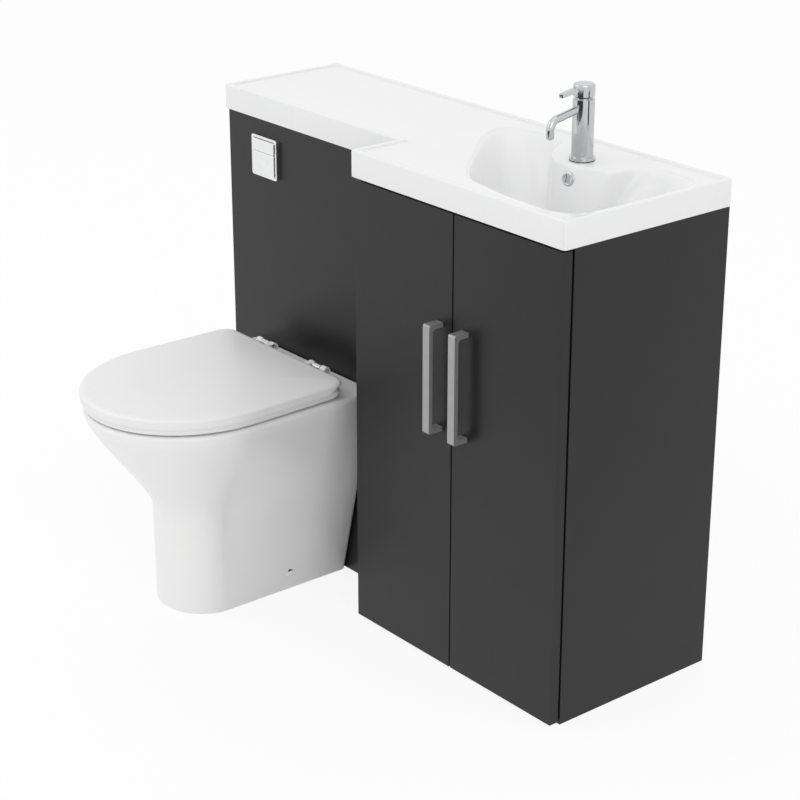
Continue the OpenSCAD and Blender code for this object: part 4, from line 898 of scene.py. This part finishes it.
@dataclass
class BasinTop(SubAssembly):
    """L-shaped top with a raised edge, a flowing bowl and the overflow.

    Sizes are in millimetres. The tap's and the waste's places come from their CAD nodes.
    """

    left: float = -505.0
    right: float = 505.0
    step: float = -5.0
    shallow: float = -260.0
    deep: float = -360.0
    under: float = 810.0
    deck: float = 852.0
    lip: float = 3.0
    lip_w: float = 13.0
    corner: float = 7.0
    corner_min: float = 0.6
    skin: float = 12.0
    band: float = 15.0
    depth: float = 112.0
    wall: float = 8.0
    bowl_x: tuple[float, float] = (42.0, 484.0)
    bowl_y: tuple[float, float] = (-329.0, -42.0)
    ledge: float = 32.0
    flank: float = 106.0
    shoulder: float = 0.62
    flat: tuple[float, float] = (170.0, 96.0)
    angle_stretch: float = 1.6
    angle_even: float = 0.25
    waste_hole_r: float = 24.0
    waste_lip: float = 3.0
    boss_r: float = 31.5
    boss_drop: float = 6.0
    tap_hole_r: float = 17.5
    hole_points: int = 48
    back_from: float = -190.0
    back_top: float = 4.0
    overflow_x: float = 8.0
    overflow_z: float = 24.0
    overflow_r: float = 7.4
    trim_sink: float = 0.2
    trim_points: int = 64
    channel_w: float = 30.0
    channel_edge: float = 0.6
    channel_mouth: float = 26.0

    def __post_init__(self) -> None:
        """Find the tap, the waste and the overflow, and the heights of the flats."""
        self.tap: tuple[float, float] = middle_of("tap_body")
        self.waste: tuple[float, float] = middle_of("waste_flange")
        self.floor: float = self.deck - self.depth
        self.boss_z: float = self.floor - self.wall - self.boss_drop
        self.skin_z: float = self.deck - self.skin
        self.overflow: tuple[float, float] = (self.tap[0] + self.overflow_x, self.deck - self.overflow_z)

    def outline(self, inset: float) -> Grid:
        """Closed outline of the L, moved inwards, with every outer corner an arc.

        A corner gives nine points about its centre, which for the one inner corner are the
        same point. Straight edges are cut in steps so that rows match.

        Args:
            inset: distance by which it is moved inwards.

        Returns:
            The outline's points.
        """
        i = inset
        r = max(self.corner - i, self.corner_min)
        x0, x1, xs = self.left + i, self.right - i, self.step + i
        y0, ys, y1 = self.deep + i, self.shallow + i, -i
        corners = ((x0 + r, ys + r, 180.0, r), (xs, ys, 0.0, 0.0), (xs + r, y0 + r, 180.0, r),
                   (x1 - r, y0 + r, 270.0, r), (x1 - r, y1 - r, 0.0, r), (x0 + r, y1 - r, 90.0, r))
        parts = [np.array([x, y]) + ellipse(angles(start, start + 90.0, 9), radius, radius)
                 for x, y, start, radius in corners]
        share = np.linspace(0.0, 1.0, 8)[1:-1, None]
        return np.vstack([row for part, after in zip(parts, parts[1:] + parts[:1])
                          for row in (part, between(part[-1], after[0], share))])

    def rim(self) -> Grid:
        """Plan of the bowl's rim: a smooth curve through marks given as shares of its box."""
        low = np.array([self.bowl_x[0], self.bowl_y[0]])
        size = np.array([self.bowl_x[1], self.bowl_y[1]]) - low
        ledge, ledge_y = (np.array(self.tap) - (0.0, self.ledge) - low) / size
        far, near = self.flank / size[0], self.shoulder * self.flank / size[0]
        marks = np.array([
            (0.40, 0.11), (0.58, 0.03), (0.78, 0.0), (0.92, 0.015), (0.985, 0.11), (1.0, 0.36), (1.0, 0.70),
            (0.985, 0.92), (0.90, 0.99), (ledge + far, 0.97), (ledge + near, ledge_y + 0.09),
            (ledge, ledge_y), (ledge - near, ledge_y + 0.09), (ledge - far, 0.97), (0.17, 1.0),
            (0.05, 0.97), (0.0, 0.86), (0.07, 0.66), (0.21, 0.40)])
        return low + size * smooth_path(marks, 12, closed=True)

    def bowl_rows(self, out: float = 0.0, drop: float = 0.0, steps: int = 8,
                  rolled: bool = True) -> list[Grid]:
        """Rings of the bowl's wall from the deck to the flat bottom.

        A ring lies a share w of the way from the rim to the ellipse of the flat bottom,
        at a share d of the depth, and is moved out square to its own outline by the offset
        plus a roll; (w, d, roll) follow a smooth curve through marks. A point's angle on the
        ellipse is that of its place on the rim, made to grow all the way round so that the
        flat bottom has no fold.

        Args:
            out: offset of the whole wall, in millimetres.
            drop: distance by which it is lowered.
            steps: rings between two marks.
            rolled: whether the roll of the rim comes first.

        Returns:
            The rings, from the top.
        """
        rim, centre = self.rim(), np.array(self.waste)
        angle = np.unwrap(np.arctan2((rim[:, 1] - centre[1]) * self.angle_stretch, rim[:, 0] - centre[0]))
        even = angle[0] + np.linspace(0.0, 2.0 * math.pi, len(angle), endpoint=False)
        angle = between(np.maximum.accumulate(angle), even, self.angle_even)
        bottom = centre + ellipse(angle, self.flat[0] / 2, self.flat[1] / 2)
        curve = smooth_path(np.array([
            (0.0, 0.018, 1.2), (0.07, 0.06, 0.0), (0.22, 0.23, 0.0), (0.40, 0.47, 0.0), (0.58, 0.70, 0.0),
            (0.76, 0.87, 0.0), (0.90, 0.965, 0.0), (1.0, 1.0, 0.0)]), steps)
        if rolled:
            curve = np.vstack([[(0.0, 0.0, 5.4), (0.0, 0.0005, 4.2), (0.0, 0.005, 2.8)], curve])
        rows = []
        for w, d, roll in curve:
            plan = between(rim, bottom, w)
            along = np.roll(plan, -1, 0) - np.roll(plan, 1, 0)
            away = np.stack([along[:, 1], -along[:, 0]], -1)
            plan = plan + away / np.linalg.norm(away, axis=1, keepdims=True) * (out + roll)
            rows.append(level(plan, self.deck - self.depth * d - drop))
        return rows

    def slab(self) -> bpy.types.Object:
        """The whole top as one closed surface.

        The edge runs from the deck over the raised lip, down the outside and back up to the
        skin's underside. The bowl runs down from the deck, through the waste's hole, round
        its boss and up its own outside. The tap's hole goes straight through. What lies
        between their first rings, and between their last ones, is flat.
        """
        deck, under, band, lip, top = self.deck, self.under, self.band, self.lip_w, self.deck + self.lip
        profile = ((lip + 0.6, deck), (lip - 0.4, deck + 0.15), (lip - 1.2, deck + 0.8),
                   (lip - 1.9, top - 0.9), (lip - 2.8, top - 0.2), (lip - 3.8, top), (2.6, top),
                   (1.2, top - 0.3), (0.4, top - 1.0), (0.05, top - 2.2), (0.0, top - 3.4),
                   (0.0, under + 1.6), (0.25, under + 0.6), (0.9, under), (band - 0.8, under),
                   (band, under + 0.8), (band, self.skin_z))
        edge = [level(self.outline(inset), z) for inset, z in profile]
        bowl = self.bowl_rows()
        ring, centre = bowl[-1][:, :2], np.array(self.waste)
        turn = np.arctan2(ring[:, 1] - centre[1], ring[:, 0] - centre[0])
        hole, boss = (centre + ellipse(turn, radius, radius) for radius in (self.waste_hole_r, self.boss_r))
        bowl += [level(between(ring, hole, share), self.floor) for share in (0.35, 0.7, 1.0)]
        bowl += [level(hole, self.floor - self.waste_lip), level(hole, self.boss_z), level(boss, self.boss_z),
                 level(boss, self.floor - self.wall)]
        bowl += [row for row in self.bowl_rows(self.wall, self.wall, 3, False)[::-1]
                 if row[0, 2] < self.skin_z - 0.5]
        bowl.append(level(bowl[-1][:, :2], self.skin_z))
        tap_ring = np.array(self.tap) + circle(self.tap_hole_r, self.hole_points)
        surfaces = (edge, bowl, [level(tap_ring, z) for z in (deck, self.skin_z)])
        points = np.vstack([row for rows in surfaces for row in rows])
        faces, upper, lower, first = [], [], [], 0
        for rows in surfaces:
            around, last = len(rows[0]), first + (len(rows) - 1) * len(rows[0])
            quads = grid_faces(len(rows), around) + first
            faces += (self.open_overflow(points, quads) if rows is bowl else quads).tolist()
            upper.append(range(first, first + around))
            lower.append(range(last, last + around))
            first = last + around
        faces += fill_between(points, upper) + fill_between(points, lower)
        return mesh_object("basin_top_gel_coat", points, faces)

    def open_overflow(self, points: Grid, quads: Grid) -> Grid:
        """Leave out the quads of the bowl's back wall that lie inside the overflow's hole."""
        x, y, z = points[quads].mean(1).T
        back_wall = (y > self.back_from) & (y < self.tap[1]) & (z < self.deck - self.back_top)
        inside = np.hypot(x - self.overflow[0], z - self.overflow[1]) < self.overflow_r
        return quads[~(inside & back_wall)]

    def overflow_trim(self) -> bpy.types.Object:
        """Chrome insert of the overflow, standing on the sloping back wall.

        The points of the wall nearest to the overflow's x and z give its place and, by the
        plane that fits them best, the wall's normal, about which the insert is turned.
        """
        wall = np.vstack(self.bowl_rows())
        wall = wall[wall[:, 1] > self.back_from]
        near = wall[np.argsort(np.hypot(wall[:, 0] - self.overflow[0], wall[:, 2] - self.overflow[1]))[:14]]
        centre = near.mean(0)
        normal = np.linalg.svd(near - centre)[2][2]
        normal *= -np.sign(normal[1])
        profile = ((7.2, -9.0), (7.9, -9.0), (7.9, 0.6), (8.3, 1.5), (9.2, 1.9), (11.0, 1.5), (12.0, 0.7),
                   (12.2, -0.6), (11.8, -1.0))
        return lathe("overflow_trim", profile, centre - normal * self.trim_sink, normal, self.trim_points)

    def overflow_channel(self) -> bpy.types.Object:
        """Flat channel moulded down the bowl's back, from the overflow to the waste's seat.

        A closed outline in the side view, carried across the channel's width: straight down
        from the deck's skin, sloping with the bowl's wall, then forward under the flat bottom.
        """
        front, skin_z, lower, floor = self.tap[1] - self.ledge, self.skin_z, self.boss_z, self.floor
        foot, mouth = self.waste[1] + self.flat[1] / 2, self.waste[1] + self.channel_mouth
        back = foot + self.wall + 14.0
        wall = between(front, foot, 0.21) + self.wall + 0.6
        side = np.array([(wall - 2.0, skin_z), (wall + 5.5, skin_z), (wall + 5.5, skin_z - 6.0),
                         (wall + 14.0, skin_z - 15.0), (back, lower + 1.0), (back - 1.0, lower),
                         (mouth, lower), (mouth, floor - 5.0), (foot + 1.0, floor - 5.0),
                         (foot + 8.0, floor + 12.0)])
        half, inner = self.channel_w / 2, self.channel_w / 2 - self.channel_edge
        rows = [upright(between(side.mean(0), side, grow), self.overflow[0] + across)
                for across, grow in ((-half, 0.97), (-inner, 1.0), (inner, 1.0), (half, 0.97))]
        points, faces = shell(rows, caps=False)
        faces += [list(range(first, first + len(side))) for first in (0, 3 * len(side))]
        return mesh_object("basin_overflow_channel", points, faces)

    def build(self) -> None:
        """Build the slab and its overflow."""
        self.shop.seat(self.slab(), GEL, "basin_top")
        self.shop.seat(self.overflow_trim(), CHROME, "basin_top", replace=False)
        self.shop.seat(self.overflow_channel(), GEL, "basin_top", replace=False)


@dataclass
class WasteAndTrap(SubAssembly):
    """Waste, plug and trap under the bowl."""

    fittings: ClassVar = (
        ("waste_flange", CHROME, 0.6, 3), ("waste_plug", CHROME, 0.3, 2), ("waste_nut", THREADED, 0.5, 2),
        ("bottle_trap", PIPE, 0.8, 2), ("trap_nuts", PIPE, 0.6, 2), ("trap_pipe", PIPE, 0.4, 2))


@dataclass
class Tap(SubAssembly):
    """Lever mixer: column, spout, aerator, turning cap and its fixing."""

    fittings: ClassVar = (
        ("tap_body", CHROME, 0.5, 3), ("tap_spout", CHROME, 0.3, 2), ("tap_lever", CHROME, 0.5, 3),
        ("tap_aerator", STEEL, 0.1, 2), ("tap_stem", STEEL, 0.2, 2), ("tap_seal", RUBBER, 0.2, 2),
        ("tap_fixing", STEEL, 0.3, 2))


@dataclass
class Flush(SubAssembly):
    """Flush plate, buttons, cistern and flush pipe."""

    fittings: ClassVar = (
        ("flush_plate", PLATE, 0.8, 3), ("button_full", PLATE, 0.6, 3), ("button_half", PLATE, 0.6, 3),
        ("button_housing", PLASTIC, 0.3, 2), ("button_bellows", BELLOWS, 0.3, 2),
        ("button_nut", PLASTIC, 0.6, 2), ("cistern_tank", TANK, 1.2, 3), ("cistern_lid", TANK, 0.8, 3),
        ("flush_valve", PLASTIC, 0.4, 2), ("fill_valve", THREADED, 0.4, 2), ("flush_pipe", PIPE, 0.3, 2),
        ("flush_cone", RUBBER, 0.8, 2))


@dataclass
class Pan(SubAssembly):
    """China pan with its skirt, bowl and outlet, and the pieces that fix it; sizes in millimetres."""

    centre: float = -250.0
    back: float = -255.0
    length: float = 463.0
    height: float = 385.0
    width: float = 360.0
    foot_w: float = 172.0
    foot_back_w: float = 176.0
    foot_back: float = 120.0
    foot_h: float = 180.0
    foot_blend: float = 14.0
    china: float = 10.0
    corner: float = 10.0
    bowl_y: float = 265.0
    bowl_back: float = 128.0
    rim_w: float = 46.0
    rim_r: float = 7.0
    rim_drop: float = 8.0
    rim_sink: float = 3.0
    sump: float = 142.0
    throat_r: float = 38.0
    throat_l: float = 36.0
    trap_r: float = 47.0
    trap_top: float = 12.0
    trap_bend: float = 55.0
    trap_turn: float = 50.0
    outlet_r: float = 51.0
    outlet_z: float = 185.0
    outlet_l: float = 46.0
    outlet_wall: float = 9.0
    outlet_edge: float = 0.8
    front_steps: int = 36
    side_steps: int = 12
    corner_steps: int = 9
    back_steps: int = 6
    fittings: ClassVar = (("pan_connector", PIPE, 0.8, 2), ("pan_brackets", PLASTIC, 0.6, 2),
                          ("pan_caps", CHROME, 0.2, 2), ("seat_hinges", CHROME, 0.6, 3))

    def __post_init__(self) -> None:
        """Find the bowl's centre and the pan's front, along Y."""
        self.middle: float = self.back - self.bowl_y
        self.front: float = self.back - self.length

    def half_plan(self, half: float, half_back: float, front: float, back: float, radius: float) -> Grid:
        """Half of a ring: a quarter ellipse in front, a straight side, a round corner, the back.

        Args:
            half: half width at the bowl's centre.
            half_back: half width at the back.
            front: y of the front.
            back: y of the back.
            radius: radius of the back corner.

        Returns:
            Points from the front's middle to just short of the back's middle.
        """
        middle = self.middle
        turn = angles(0.0, 90.0, self.front_steps + 1)
        nose = np.stack([half * np.sin(turn), middle - (middle - front) * np.cos(turn)], -1)
        share = np.linspace(0.0, 1.0, self.side_steps + 1)[1:, None]
        side = between(np.array([half, middle]), np.array([half_back, back - radius]), share)
        corner = (np.array([half_back - radius, back - radius])
                  + ellipse(angles(0.0, 90.0, self.corner_steps + 1)[1:], radius, radius))
        last = np.linspace(1.0, 0.0, self.back_steps + 1)[1:-1] * (half_back - radius)
        return np.vstack([nose, side, corner, level(last[:, None], back)])

    def whole(self, half: Grid, z: float, back: float) -> Grid:
        """Both halves of a ring, at one height, with a point at the back's middle."""
        plan = np.vstack([half, [[0.0, back]], half[:0:-1] * np.array([-1.0, 1.0])])
        return level(plan + np.array([self.centre, 0.0]), z)

    def egg(self, half: float, front: float, back: float, z: float) -> Grid:
        """Egg-shaped ring of two half ellipses, with as many points as half_plan gives.

        Args:
            half: half width at the bowl's centre.
            front: y of the front.
            back: y of the back.
            z: height.

        Returns:
            The ring.
        """
        rest, middle = self.side_steps + self.corner_steps + self.back_steps, self.middle
        turn = np.concatenate([np.linspace(0.0, 90.0, self.front_steps + 1),
                               90.0 + 90.0 * np.arange(1, rest) / rest])
        reach = np.where(turn <= 90.0, middle - front, back - middle)
        turn = np.radians(turn)
        return self.whole(np.stack([half * np.sin(turn), middle - reach * np.cos(turn)], -1), z, back)

    def skirt(self, z: float, flare: float, flare_back: float, inset: float) -> Grid:
        """Ring of the skirt.

        Args:
            z: height.
            flare: share of the way from the foot's outline to the rim's.
            flare_back: the same share for the width at the back.
            inset: distance by which the ring is moved inwards.

        Returns:
            The ring.
        """
        half = between(self.foot_w / 2, self.width / 2, flare) - inset
        half_back = between(self.foot_back_w / 2, self.width / 2, flare_back) - inset
        front = between(self.front + self.foot_back, self.front, flare) + inset
        back, radius = self.back - inset, max(self.corner - inset, 2.0)
        return self.whole(self.half_plan(half, half_back, front, back, radius), z, back)

    def skirt_rows(self, inset: float, steps: int) -> list[Grid]:
        """Rings from the floor to just under the rim, on a smooth curve through the flare's marks.

        Args:
            inset: distance by which the rings are moved inwards.
            steps: rings between two marks.

        Returns:
            The rings, from the floor.
        """
        flare = np.array([(0.0, 0.0), (0.08, 0.03), (0.2, 0.13), (0.4, 0.36), (0.6, 0.6), (0.8, 0.83),
                          (0.92, 0.95)])
        heights = [(z, 0.0) for z in np.linspace(0.0, self.foot_h - self.foot_blend, 4)]
        heights += [(between(self.foot_h, self.height - self.rim_drop, share), out)
                    for share, out in smooth_path(flare, steps)]
        return [self.skirt(z, out, z / self.height, inset) for z, out in heights]

    def body(self) -> bpy.types.Object:
        """The china: up the skirt, over the rim and down the bowl, then back under it."""
        top, sump, middle, china = self.height, self.sump, self.middle, self.china
        deep, foot = top - sump, self.foot_w / 2 - china
        half, front, back = self.width / 2 - self.rim_w, self.front + self.rim_w, middle + self.bowl_back
        inner = smooth_path(np.array([
            (top - self.rim_sink, half, front, back), (top - 12.0, half - 2.0, front + 2.0, back - 2.0),
            (sump + deep * 0.75, half - 9.0, front + 12.0, back - 9.0),
            (sump + deep * 0.50, 98.0, between(middle - 52.0, front, 0.47),
             between(middle + 52.0, back, 0.70)),
            (sump + deep * 0.25, foot - 8.0, middle - 60.0, middle + 84.0),
            (sump + deep * 0.05, foot - 16.0, middle - 56.0, middle + 60.0),
            (sump + 0.2, 52.0, middle - 52.0, middle + 52.0)]), 6)
        edge = [self.skirt(top - self.rim_drop * (1 - math.sin(a)), 1.0, 1.0, self.rim_r * (1 - math.cos(a)))
                for a in angles(0.0, 90.0, 8)]
        roll = []
        for a in angles(0.0, 80.0, 6):
            out, z = self.rim_r * (1 - math.sin(a)), top - self.rim_sink * (1 - math.cos(a))
            roll.append(self.egg(half + out, front - out, back + out, z))
        bowl = [self.egg(a, f, b, z) for z, a, f, b in inner]
        r = self.throat_r
        throat = [self.egg(r, middle - r, middle + r, z) for z in (sump, sump - 3.0, sump - self.throat_l)]
        under = [self.egg(a + china, f - china, b + china, z - china * (1.0 if k == 0 else 0.5))
                 for k, (z, a, f, b) in enumerate(inner[::-1][:24:4])]
        lining = [self.skirt(top - 14.0, 1.0, 1.0, china)] + self.skirt_rows(china, 2)[::-1]
        outer = self.skirt_rows(0.0, 6)
        return mesh_object("pan_china", *shell(under + lining + outer + edge + roll + bowl + throat))

    def trapway(self) -> bpy.types.Object:
        """Outside of the trap, from the bowl's bottom round to the outlet spigot."""
        bend, turn, low = self.trap_bend, self.trap_turn, self.sump - self.throat_l - 1.0
        under = np.array([self.middle + bend, low]) + ellipse(angles(180.0, 360.0, 25), bend, bend)
        rise = (np.array([self.middle + 2 * bend + turn, self.outlet_z - turn])
                + ellipse(angles(180.0, 90.0, 13), turn, turn))
        plan = np.vstack([[(self.middle, self.sump - self.trap_top)], under, rise,
                          [(self.back - self.china, self.outlet_z)]])
        return sweep("pan_trapway", upright(plan, self.centre), circle(self.trap_r, 48), (1.0, 0.0, 0.0))

    def outlet(self) -> bpy.types.Object:
        """Round spigot along Y that the soil connector fits over."""
        near, r, e = self.back - self.china, self.outlet_r, self.outlet_edge
        far, bore = near + self.outlet_l, r - self.outlet_wall
        profile = ((bore, near), (r - e, near), (r, near + e), (r, far - e), (r - e, far), (bore + e, far),
                   (bore, far - e), (bore, near))
        return lathe("pan_outlet", profile, (self.centre, 0.0, self.outlet_z), (0.0, 1.0, 0.0))

    def build(self) -> None:
        """Build the pan and dress its fixings."""
        self.shop.seat(self.body(), CHINA, "toilet_pan")
        self.shop.seat(self.trapway(), CHINA, "toilet_pan", replace=False)
        self.shop.seat(self.outlet(), CHINA, "toilet_pan", replace=False)
        super().build()


@dataclass
class Seat(SubAssembly):
    """Seat and lid, with their buffers and hinge lugs; sizes in millimetres."""

    pan: Pan
    base: float = 389.0
    thick: float = 18.5
    over: float = 4.0
    hinge_y: float = -305.0
    pin_over: float = 2.0
    seat_in: float = 5.0
    seat_taper: float = 4.0
    seat_back: float = 14.0
    seat_corner: float = 26.0
    hole_w: float = 226.0
    hole_l: float = 268.0
    hole_forward: float = 12.0
    lid_z: float = 412.5
    lid_wall: float = 4.0
    lid_t: float = 19.0
    lid_taper: float = 3.0
    lid_back: float = 13.0
    lid_corner: float = 30.0
    rise_from: float = 42.0
    rise_over: float = 22.0
    dome: float = 4.41
    dome_run: float = 94.0
    post: float = 78.0
    gap: float = 11.4
    lug: float = 13.6
    knuckle: float = 8.0
    lug_edge: float = 0.5
    fittings: ClassVar = (("seat_buffers", PLASTIC, 0.5, 2), ("lid_buffers", PLASTIC, 0.5, 2))

    def lug_solid(self, name: str, side: int, near: float, low: float, high: float,
                  front: float) -> bpy.types.Object:
        """Hinge lug: a knuckle round the pin and a tongue that runs forward into the plate.

        Each is a closed outline in the side view, carried across the lug's width with its
        end edges broken.

        Args:
            name: the piece's name.
            side: -1 for the left hinge, 1 for the right.
            near: distance of the lug's inner face from the pan's middle.
            low: height of the tongue's underside over the pin.
            high: height of its top over the pin.
            front: y of the tongue's front, from the pin.

        Returns:
            The lug.
        """
        x0, x1 = sorted((side * near, side * (near + self.lug)))
        edge, steps = self.lug_edge, 9
        pin = np.array([self.hinge_y, self.base + self.thick + self.pin_over])
        corners = np.array([(front, low), (0.0, low), (0.0, high), (front, high)])[:, None]
        tongue = between(corners, np.roll(corners, -1, 0), (np.arange(steps) / steps)[:, None]).reshape(-1, 2)
        points, faces = np.empty((0, 3)), []
        for outline in (circle(self.knuckle, 48), tongue):
            away = outline - outline.mean(0)
            away /= np.linalg.norm(away, axis=1, keepdims=True)
            rows = [upright(outline + away * grow + pin, self.pan.centre + x)
                    for x, grow in ((x0, -edge), (x0 + edge, 0.0), (x1 - edge, 0.0), (x1, -edge))]
            more_points, more_faces = shell(rows)
            faces += [[len(points) + k for k in face] for face in more_faces]
            points = np.vstack([points, more_points])
        return mesh_object(name, points, faces)

    def ring(self) -> bpy.types.Object:
        """Seat ring: a rounded section carried round between its outline and its opening.

        A mark of the section is a share of the way inwards and a share of the thickness.
        """
        p = self.pan
        out, back = self.over - self.seat_in, self.hinge_y - self.seat_back
        half = p.width / 2 + out
        outer = p.whole(p.half_plan(half, half - self.seat_taper, p.front - out, back, self.seat_corner),
                        0.0, back)
        hole_front = p.middle - self.hole_l / 2 - self.hole_forward
        inner = p.egg(self.hole_w / 2, hole_front, hole_front + self.hole_l, 0.0)
        section = np.clip(smooth_path(np.array([
            (0.02, 0.1), (0.0, 0.35), (0.0, 0.62), (0.03, 0.88), (0.10, 0.985), (0.24, 1.0), (0.72, 0.90),
            (0.90, 0.74), (0.985, 0.52), (1.0, 0.34), (0.97, 0.1), (0.90, 0.0), (0.5, 0.0), (0.08, 0.0)]),
            5, closed=True), 0.0, 1.0)
        rows = between(outer[None], inner[None], section[:, 0, None, None])
        rows[:, :, 2] = self.base + self.thick * section[:, 1, None]
        return mesh_object("seat_ring_moulding", *shell(rows, closed=True), Shade.SMOOTH)

    def lid_ring(self, inset: float, z: float, edge: bool = False) -> Grid:
        """Ring of the lid, whose hanging edge rises clear of the seat along the back.

        Args:
            inset: distance by which it is moved inwards.
            z: height.
            edge: whether it belongs to the hanging edge.

        Returns:
            The ring.
        """
        p, back = self.pan, self.hinge_y - self.lid_back
        half, front = p.width / 2 + self.over - inset, p.front - self.over + inset
        radius = max(self.lid_corner - inset, 4.0)
        ring = p.whole(p.half_plan(half, half - self.lid_taper, front, back - inset, radius), z, back - inset)
        if edge:
            rise = np.clip((ring[:, 1] - back + self.rise_from) / self.rise_over, 0.0, 1.0)
            ring[:, 2] += max(0.0, self.lid_z + 0.5 - z) * rise
        return ring

    def lid(self) -> bpy.types.Object:
        """Lid: a domed shell with a rounded edge that hangs round the seat.

        Inside the rounded edge the lid rises as 1 - q^2, where q falls from 1 at the edge to
        0 at the innermost ring.
        """
        under, wall = self.lid_z, self.lid_wall
        top = under + wall + 3.0
        skirt = top - self.lid_t
        marks = [(90.0, under + 2), (wall + 14, under + 2), (wall + 5, under + 2),
                 (wall + 2.2, under + 1.0, True), (wall + 0.9, under - 1.5, True), (wall, skirt + 0.8, True),
                 (wall - 0.5, skirt + 0.1, True), (1.4, skirt, True), (0.6, skirt + 0.5, True),
                 (0.1, skirt + 2.0, True), (0.0, skirt + 4.0, True), (0.0, under + 1.0)]
        marks += [(14.0 * (1 - math.cos(a)) ** 1.1, top - 6.0 + 6.0 * math.sin(a))
                  for a in angles(8.0, 90.0, 12)]
        marks += [(16.0 + s, top + self.dome * (1 - (1 - s / self.dome_run) ** 2))
                  for s in np.linspace(4.0, self.dome_run, 14)]
        return mesh_object("seat_lid_moulding", *shell([self.lid_ring(*mark) for mark in marks]))

    def build(self) -> None:
        """Build the seat, the lid and their hinge lugs."""
        super().build()
        self.shop.seat(self.ring(), SEAT_WHITE, "seat_ring")
        self.shop.seat(self.lid(), SEAT_WHITE, "seat_lid")
        for side, tag in ((-1, "left"), (1, "right")):
            for node, near, low, high, front in (
                    ("seat_ring", self.post + self.gap, -self.thick - 0.5, -4.0, -26.0),
                    ("seat_lid", self.post - self.gap - self.lug, 0.5, 7.5, -15.0)):
                lug = self.lug_solid(f"{node}_lug_{tag}", side, near, low, high, front)
                self.shop.seat(lug, SEAT_WHITE, node, replace=False)


def main() -> None:
    """Build the room and every sub-assembly in order."""
    logging.basicConfig(level=logging.INFO, format="%(name)s: %(message)s")
    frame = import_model()
    Studio().build()
    shop = Workshop(frame)
    pan = Pan(shop)
    for part in (Cabinets(shop), BasinTop(shop), WasteAndTrap(shop), Tap(shop), Flush(shop), pan,
                 Seat(shop, pan)):
        LOG.info("building %s", type(part).__name__)
        part.build()


if __name__ == "__main__":
    main()
